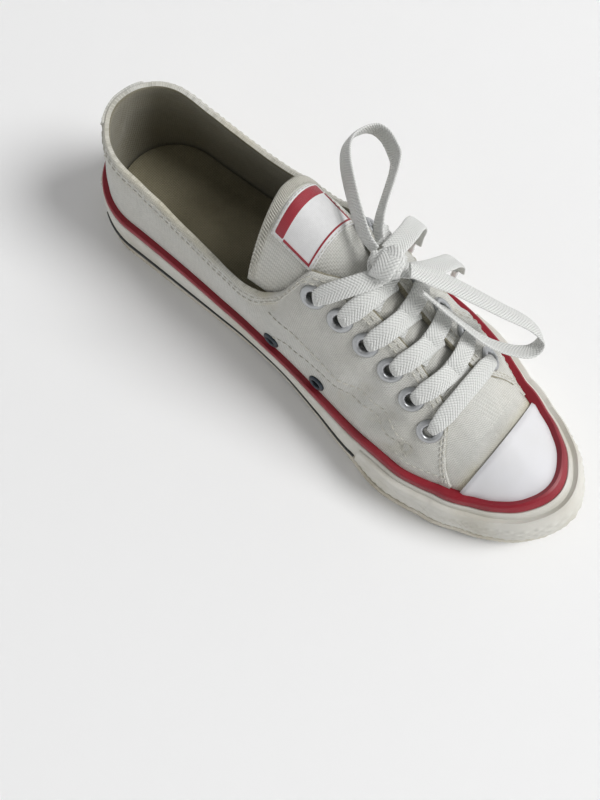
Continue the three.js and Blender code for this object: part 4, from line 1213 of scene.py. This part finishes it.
lace_run(
    "lace_bar_braid",
    eyelet_xy(-1, EYELETS - 1),
    eyelet_xy(1, EYELETS - 1),
    bar_rise,
    ([0, 0.07, 0.14, 0.26, 0.74, 0.86, 0.93, 1], [3.8, 4.4, 6.4, 8.8, 8.8, 6.4, 4.4, 3.8]),
    ["lace_bar"],
    both=True,
)
for row in range(1, EYELETS - 1):
    for mark, word in ((-1, "medial"), (1, "lateral")):
        x, y = eyelet_xy(mark, row)
        far_x = x + PITCH * 0.55
        far = (far_x, -mark * (float(opening_half(far_x)) + 0.6))

        def rise(t, mark=mark):
            under = 0 if mark < 0 else 0.9 * ease(0.5, 0.7, t) * (1 - ease(0.84, 1, t))
            lift = 0.35 * (mark < 0) * ease(0.3, 0.6, t)
            return ON_EYELET + (ON_TONGUE - ON_EYELET) * ease(0.3, 0.95, t) - under + lift

        lace_run(
            f"lace_run_{row + 1}_{word}",
            (x, y),
            far,
            rise,
            ([0, 0.08, 0.17, 0.32, 0.8, 1], [3.8, 4.4, 6.4, 9.0, 9.0, 7.6]),
            [f"lace_crossing_{row + 1}"] if mark < 0 else (),
        )

# Bow: knot, two loops and two ends, on the routes that the solids follow
KNOT = (0.556, 0.06, 1.0)


def spot_of(x, y, z):
    return [x * LENGTH, y * BALL, z * INSTEP]


knot_centre = np.array(spot_of(*KNOT))
LOOP_UP = [
    (0.531, 0.08, 1.015), (0.502, 0.11, 1.025), (0.452, 0.227, 1.02), (0.394, 0.416, 0.94),
    (0.37, 0.565, 0.875), (0.377, 0.708, 0.83), (0.4, 0.734, 0.825), (0.431, 0.682, 0.845),
    (0.455, 0.591, 0.885), (0.495, 0.286, 0.985), (0.512, 0.19, 1.015), (0.529, 0.125, 1.03),
]
LOOP_SIDE = [
    (0.59, 0.11, 1.015), (0.645, 0.235, 0.91), (0.725, 0.37, 0.77), (0.775, 0.46, 0.67),
    (0.804, 0.465, 0.61), (0.798, 0.36, 0.6), (0.743, 0.235, 0.67), (0.672, 0.15, 0.82), (0.617, 0.1, 0.93),
]
END_BACK = [
    (0.548, 0.135, 0.984), (0.547, 0.221, 0.96), (0.544, 0.325, 0.915), (0.538, 0.416, 0.845),
    (0.534, 0.494, 0.745), (0.531, 0.543, 0.63), (0.529, 0.548, 0.56), (0.529, 0.552, 0.46),
]
END_SIDE = [
    (0.569, 0.11, 0.94), (0.588, 0.169, 0.915), (0.602, 0.26, 0.865), (0.611, 0.377, 0.78),
    (0.614, 0.474, 0.685), (0.616, 0.545, 0.57), (0.617, 0.578, 0.46),
]
UPRIGHT, FLAT, TILTED, LENGTHWISE = (0.3, 0.2, 0.93), (0.4, -0.9, 0.3), (0.58, -0.31, 0.74), (1.0, 0.0, 0.0)


def loose_lace(name, table, start_way, end_way, replaces, far_end):
    """A run of loose lace, along a smooth route through the points of its table."""
    count = 90
    path = smooth([spot_of(*row) for row in table], count)
    blend = np.linspace(0, 1, count)[:, None]
    across = np.array(start_way) * (1 - blend) + np.array(end_way) * blend
    ends = np.minimum(np.arange(count), np.arange(count)[::-1]) / 8
    width = LACE * (0.72 + 0.28 * ease(0, 1, ends)) if far_end == "object" else LACE * np.ones(count)
    piece = ribbon(name, path, across, width, LACE_THICK, corners=18)
    finish_piece(piece, braid, replaces)


def tip_piece(name, path, replaces):
    """The film round a lace end: a short tube, a little flattened where the film overlaps."""
    end = np.array(path[-1])
    stops = np.array([end + np.array([0, 0, -0.3 - 12 * part]) for part in np.linspace(0, 1, 12)])
    width = np.array([3.5, 3.3, 3.2, 3.2, 3.2, 3.2, 3.2, 3.2, 3.2, 3.1, 3.0, 2.4])
    piece = ribbon(name, stops, LENGTHWISE, width, 3.0, corners=18, soft=2.0)
    return finish_piece(piece, acetate, [replaces])


tip_back = tip_piece("lace_tip_film_back", [spot_of(*row) for row in END_BACK], "lace_tip_back")
tip_side = tip_piece("lace_tip_film_side", [spot_of(*row) for row in END_SIDE], "lace_tip_side")
loose_lace("lace_loop_up_braid", LOOP_UP, UPRIGHT, UPRIGHT, ["lace_loop_up"], "object")
loose_lace("lace_loop_side_braid", LOOP_SIDE, FLAT, TILTED, ["lace_loop_side"], "object")
for word, table, film in (("back", END_BACK, tip_back), ("side", END_SIDE, tip_side)):
    loose_lace(
        f"lace_end_{word}_braid",
        table,
        LENGTHWISE,
        LENGTHWISE,
        [f"lace_end_{word}"],
        "fitting",
    )

# The knot itself: lace wrapped over lace, with the two top runs that come up to it
wraps = []
for number, (tilt, size, lift) in enumerate(((0.2, 1.0, 0.0), (1.15, 0.86, 0.6), (-0.8, 0.8, -0.4))):
    angle = np.linspace(0.0, 2 * math.pi * 0.94, 40)
    ring = np.stack([0.62 * np.sin(angle) * math.sin(tilt), np.cos(angle), np.sin(angle)], 1)
    ring = ring * np.array([6.2, 5.4, 4.9]) * size
    turn = np.array([[math.cos(tilt), -math.sin(tilt), 0], [math.sin(tilt), math.cos(tilt), 0], [0, 0, 1]])
    path = ring @ turn.T + knot_centre + np.array([0, 0, lift])
    axis = turn @ np.array([1.0, 0.0, 0.15])
    wrap = ribbon(f"lace_knot_wrap_{number + 1}", path, axis, 8.6 * size, 2.0, corners=16)
    finish_piece(wrap, braid, ["lace_knot"] if number == 0 else ())
core_turn = np.linspace(0, 1, 14)
core = knot_centre + np.stack([(core_turn - 0.5) * 14, 0 * core_turn, 0 * core_turn], 1)
core_width = 9.0 * np.sqrt(np.clip(1 - (2 * core_turn - 1) ** 2, 0.06, 1))
finish_piece(ribbon("lace_knot_core", core, (0.0, 1.0, 0.0), core_width, 7.0, soft=2.0), braid)
for mark, word in ((-1, "medial"), (1, "lateral")):
    x, y = eyelet_xy(mark, 0)
    to = (knot_centre[0] - 1.0, knot_centre[1] + mark * 2.0)
    lace_run(
        f"lace_top_run_{word}", (x, y), to, lambda t: ON_EYELET + (9.0 - ON_EYELET) * t,
        ([0, 0.07, 0.15, 0.3, 0.8, 1], [3.8, 4.6, 6.4, 8.6, 8.0, 5.0]),
    )


# Stitching
def seam(mark, ats, vs, lift=0.1):
    """A sewn line on the quarter's outer face, with its normals."""
    side = mark * np.ones_like(ats)
    out = cloth_face(side, ats, vs)[0] + lift
    path = skin(side, ats, vs, out)
    return path, skin(side, ats, vs, out + 1) - path


def below_edge(mark, ats, downs):
    """Shares up the wall of rows at distances down from the quarter's edge."""
    edge = quarter_edge(mark * np.ones_like(ats), ats)
    section = np.linalg.norm(skin(mark, ats, edge, 2) - skin(mark, ats, edge - 0.02, 2), axis=1) / 0.02
    return [edge - down / section for down in downs]


SEAM_LOW = 29.5
rows_of_thread = []
for mark in (-1.0, 1.0):
    ats = np.linspace(0, along(THROAT) - 3, 260)
    for v in below_edge(mark, ats, (2.6, 5.2)):
        rows_of_thread.append(seam(mark, ats, v))
    # Two rows below the eyelets, from the lobe down to the wing
    xs = np.linspace(EYELET_X - 16, THROAT - 2, 120)
    curve = 18.5 + 2.5 * np.sin((xs - xs[0]) / (xs[-1] - xs[0]) * math.pi)
    for more in (0.0, 2.6):
        v = share_at_reach(mark * np.ones_like(xs), along(xs), opening_half(xs) + curve + more)
        rows_of_thread.append(seam(mark, along(xs), v))
    # Two rows down the front of the wing, and one short bar
    ats = np.linspace(along(THROAT) - 1, along(WING_X) - 3.5, 60)
    low_v = share_at_height(mark * np.ones_like(ats), ats, SEAM_LOW)
    for v in below_edge(mark, ats, (2.4, 4.8)):
        keep = v > low_v
        if keep.sum() > 4:
            rows_of_thread.append(seam(mark, ats[keep], v[keep]))
    bar = np.linspace(THROAT - 12, WING_X - 6, 30)
    v = share_at_height(mark * np.ones_like(bar), along(bar), 33.5)
    rows_of_thread.append(seam(mark, along(bar), v))
    # Two rows down each edge of the heel stay
    for degrees in (27, 22):
        ats = np.full(60, heel(degrees))
        top = quarter_edge(mark * np.ones_like(ats), ats) - 0.02
        foot = share_at_height(mark * np.ones_like(ats), ats, SEAM_LOW)
        rows_of_thread.append(seam(mark, ats, foot + (top - foot) * np.linspace(0, 1, 60), STAY + 0.1))
sewing = stitches("upper_stitching", rows_of_thread)
finish_piece(sewing, thread)

patch_lines = []
x0, x1, y1 = label_back + 0.5, label_back + 20.4, 13.55
for a, b in (((x0, -y1), (x1, -y1)), ((x1, -y1), (x1, y1)), ((x1, y1), (x0, y1)), ((x0, y1), (x0, -y1))):
    t = np.linspace(0, 1, 30)
    px, py = a[0] + (b[0] - a[0]) * t, a[1] + (b[1] - a[1]) * t
    path = over(px, py, base_out + 0.8)
    patch_lines.append((path, over(px, py, base_out + 1.8) - path))
finish_piece(stitches("patch_stitching", patch_lines, pitch=2.2, thread=0.4, long=1.8), thread)

# Overlock on the tongue's top edge: slanted threads that wrap it
zigzag = []
top_out = mid_out + TONGUE / 2
for y in np.linspace(-25, 25, 62):
    t = np.linspace(0, 1, 12)
    px = TONGUE_BACK + 4.6 * (1 - t)
    py = y + 1.1 * t
    path = over(px, py, top_out + 0.25 - 1.1 * ease(0.75, 1, t))
    zigzag.append((path, over(px, py, top_out + 1.2) - over(px, py, top_out + 0.2)))
finish_piece(stitches("tongue_overlock", zigzag, pitch=4.5, thread=0.65, long=4.6), thread)

# Floor and light: a pale sweep, a large soft light high on the toe and outer side, and a weaker fill
floor_mesh = bpy.data.meshes.new("floor")
reach = np.concatenate([[0.6, 1.2, 1.8], np.linspace(2.2, 4.2, 16)])
circle = np.linspace(0, 2 * math.pi, 72, endpoint=False)
sweep = np.stack([
    reach[:, None] * np.cos(circle),
    reach[:, None] * np.sin(circle),
    0.5 * np.maximum(0, reach[:, None] - 2.2) ** 2 + 0 * circle,
], -1).reshape(-1, 3)
ring = np.arange(len(reach) * 72).reshape(len(reach), 72)
after = np.roll(ring, -1, 1)
bands = np.stack([ring[:-1], ring[1:], after[1:], after[:-1]], -1).reshape(-1, 4).tolist()
floor_mesh.from_pydata(sweep.tolist(), [], [*bands, ring[0].tolist()])
floor_mesh.polygons.foreach_set("use_smooth", [True] * len(floor_mesh.polygons))
floor = bpy.data.objects.new("floor", floor_mesh)
bpy.context.scene.collection.objects.link(floor)
paper, paper_tree, paper_shader = start("matt paper sweep", Roughness=0.9, IOR=1.45)
paper_shader.inputs["Base Color"].default_value = linear("#f9f9f9")
floor_mesh.materials.append(paper)
floor.location.z = -0.0002

world = bpy.data.worlds.new("studio")
bpy.context.scene.world = world
world.use_nodes = True
world.node_tree.nodes["Background"].inputs[0].default_value = (1, 1, 1, 1)
world.node_tree.nodes["Background"].inputs[1].default_value = 0.26


def area_light(name, place, aim, size, power):
    made = bpy.data.lights.new(name, "AREA")
    made.shape, made.size, made.energy = "DISK", size, power
    lamp = bpy.data.objects.new(name, made)
    lamp.location = place
    lamp.rotation_mode = "QUATERNION"
    lamp.rotation_quaternion = (Vector(aim) - Vector(place)).to_track_quat("-Z", "Y")
    bpy.context.scene.collection.objects.link(lamp)


area_light("key", (2.25, 1.65, 3.45), (0, 0, 0.03), 2.2, 142)
area_light("fill", (-1.5, -3.3, 2.7), (0, 0, 0.03), 3.0, 8)
bpy.context.scene.view_settings.view_transform = "Standard"
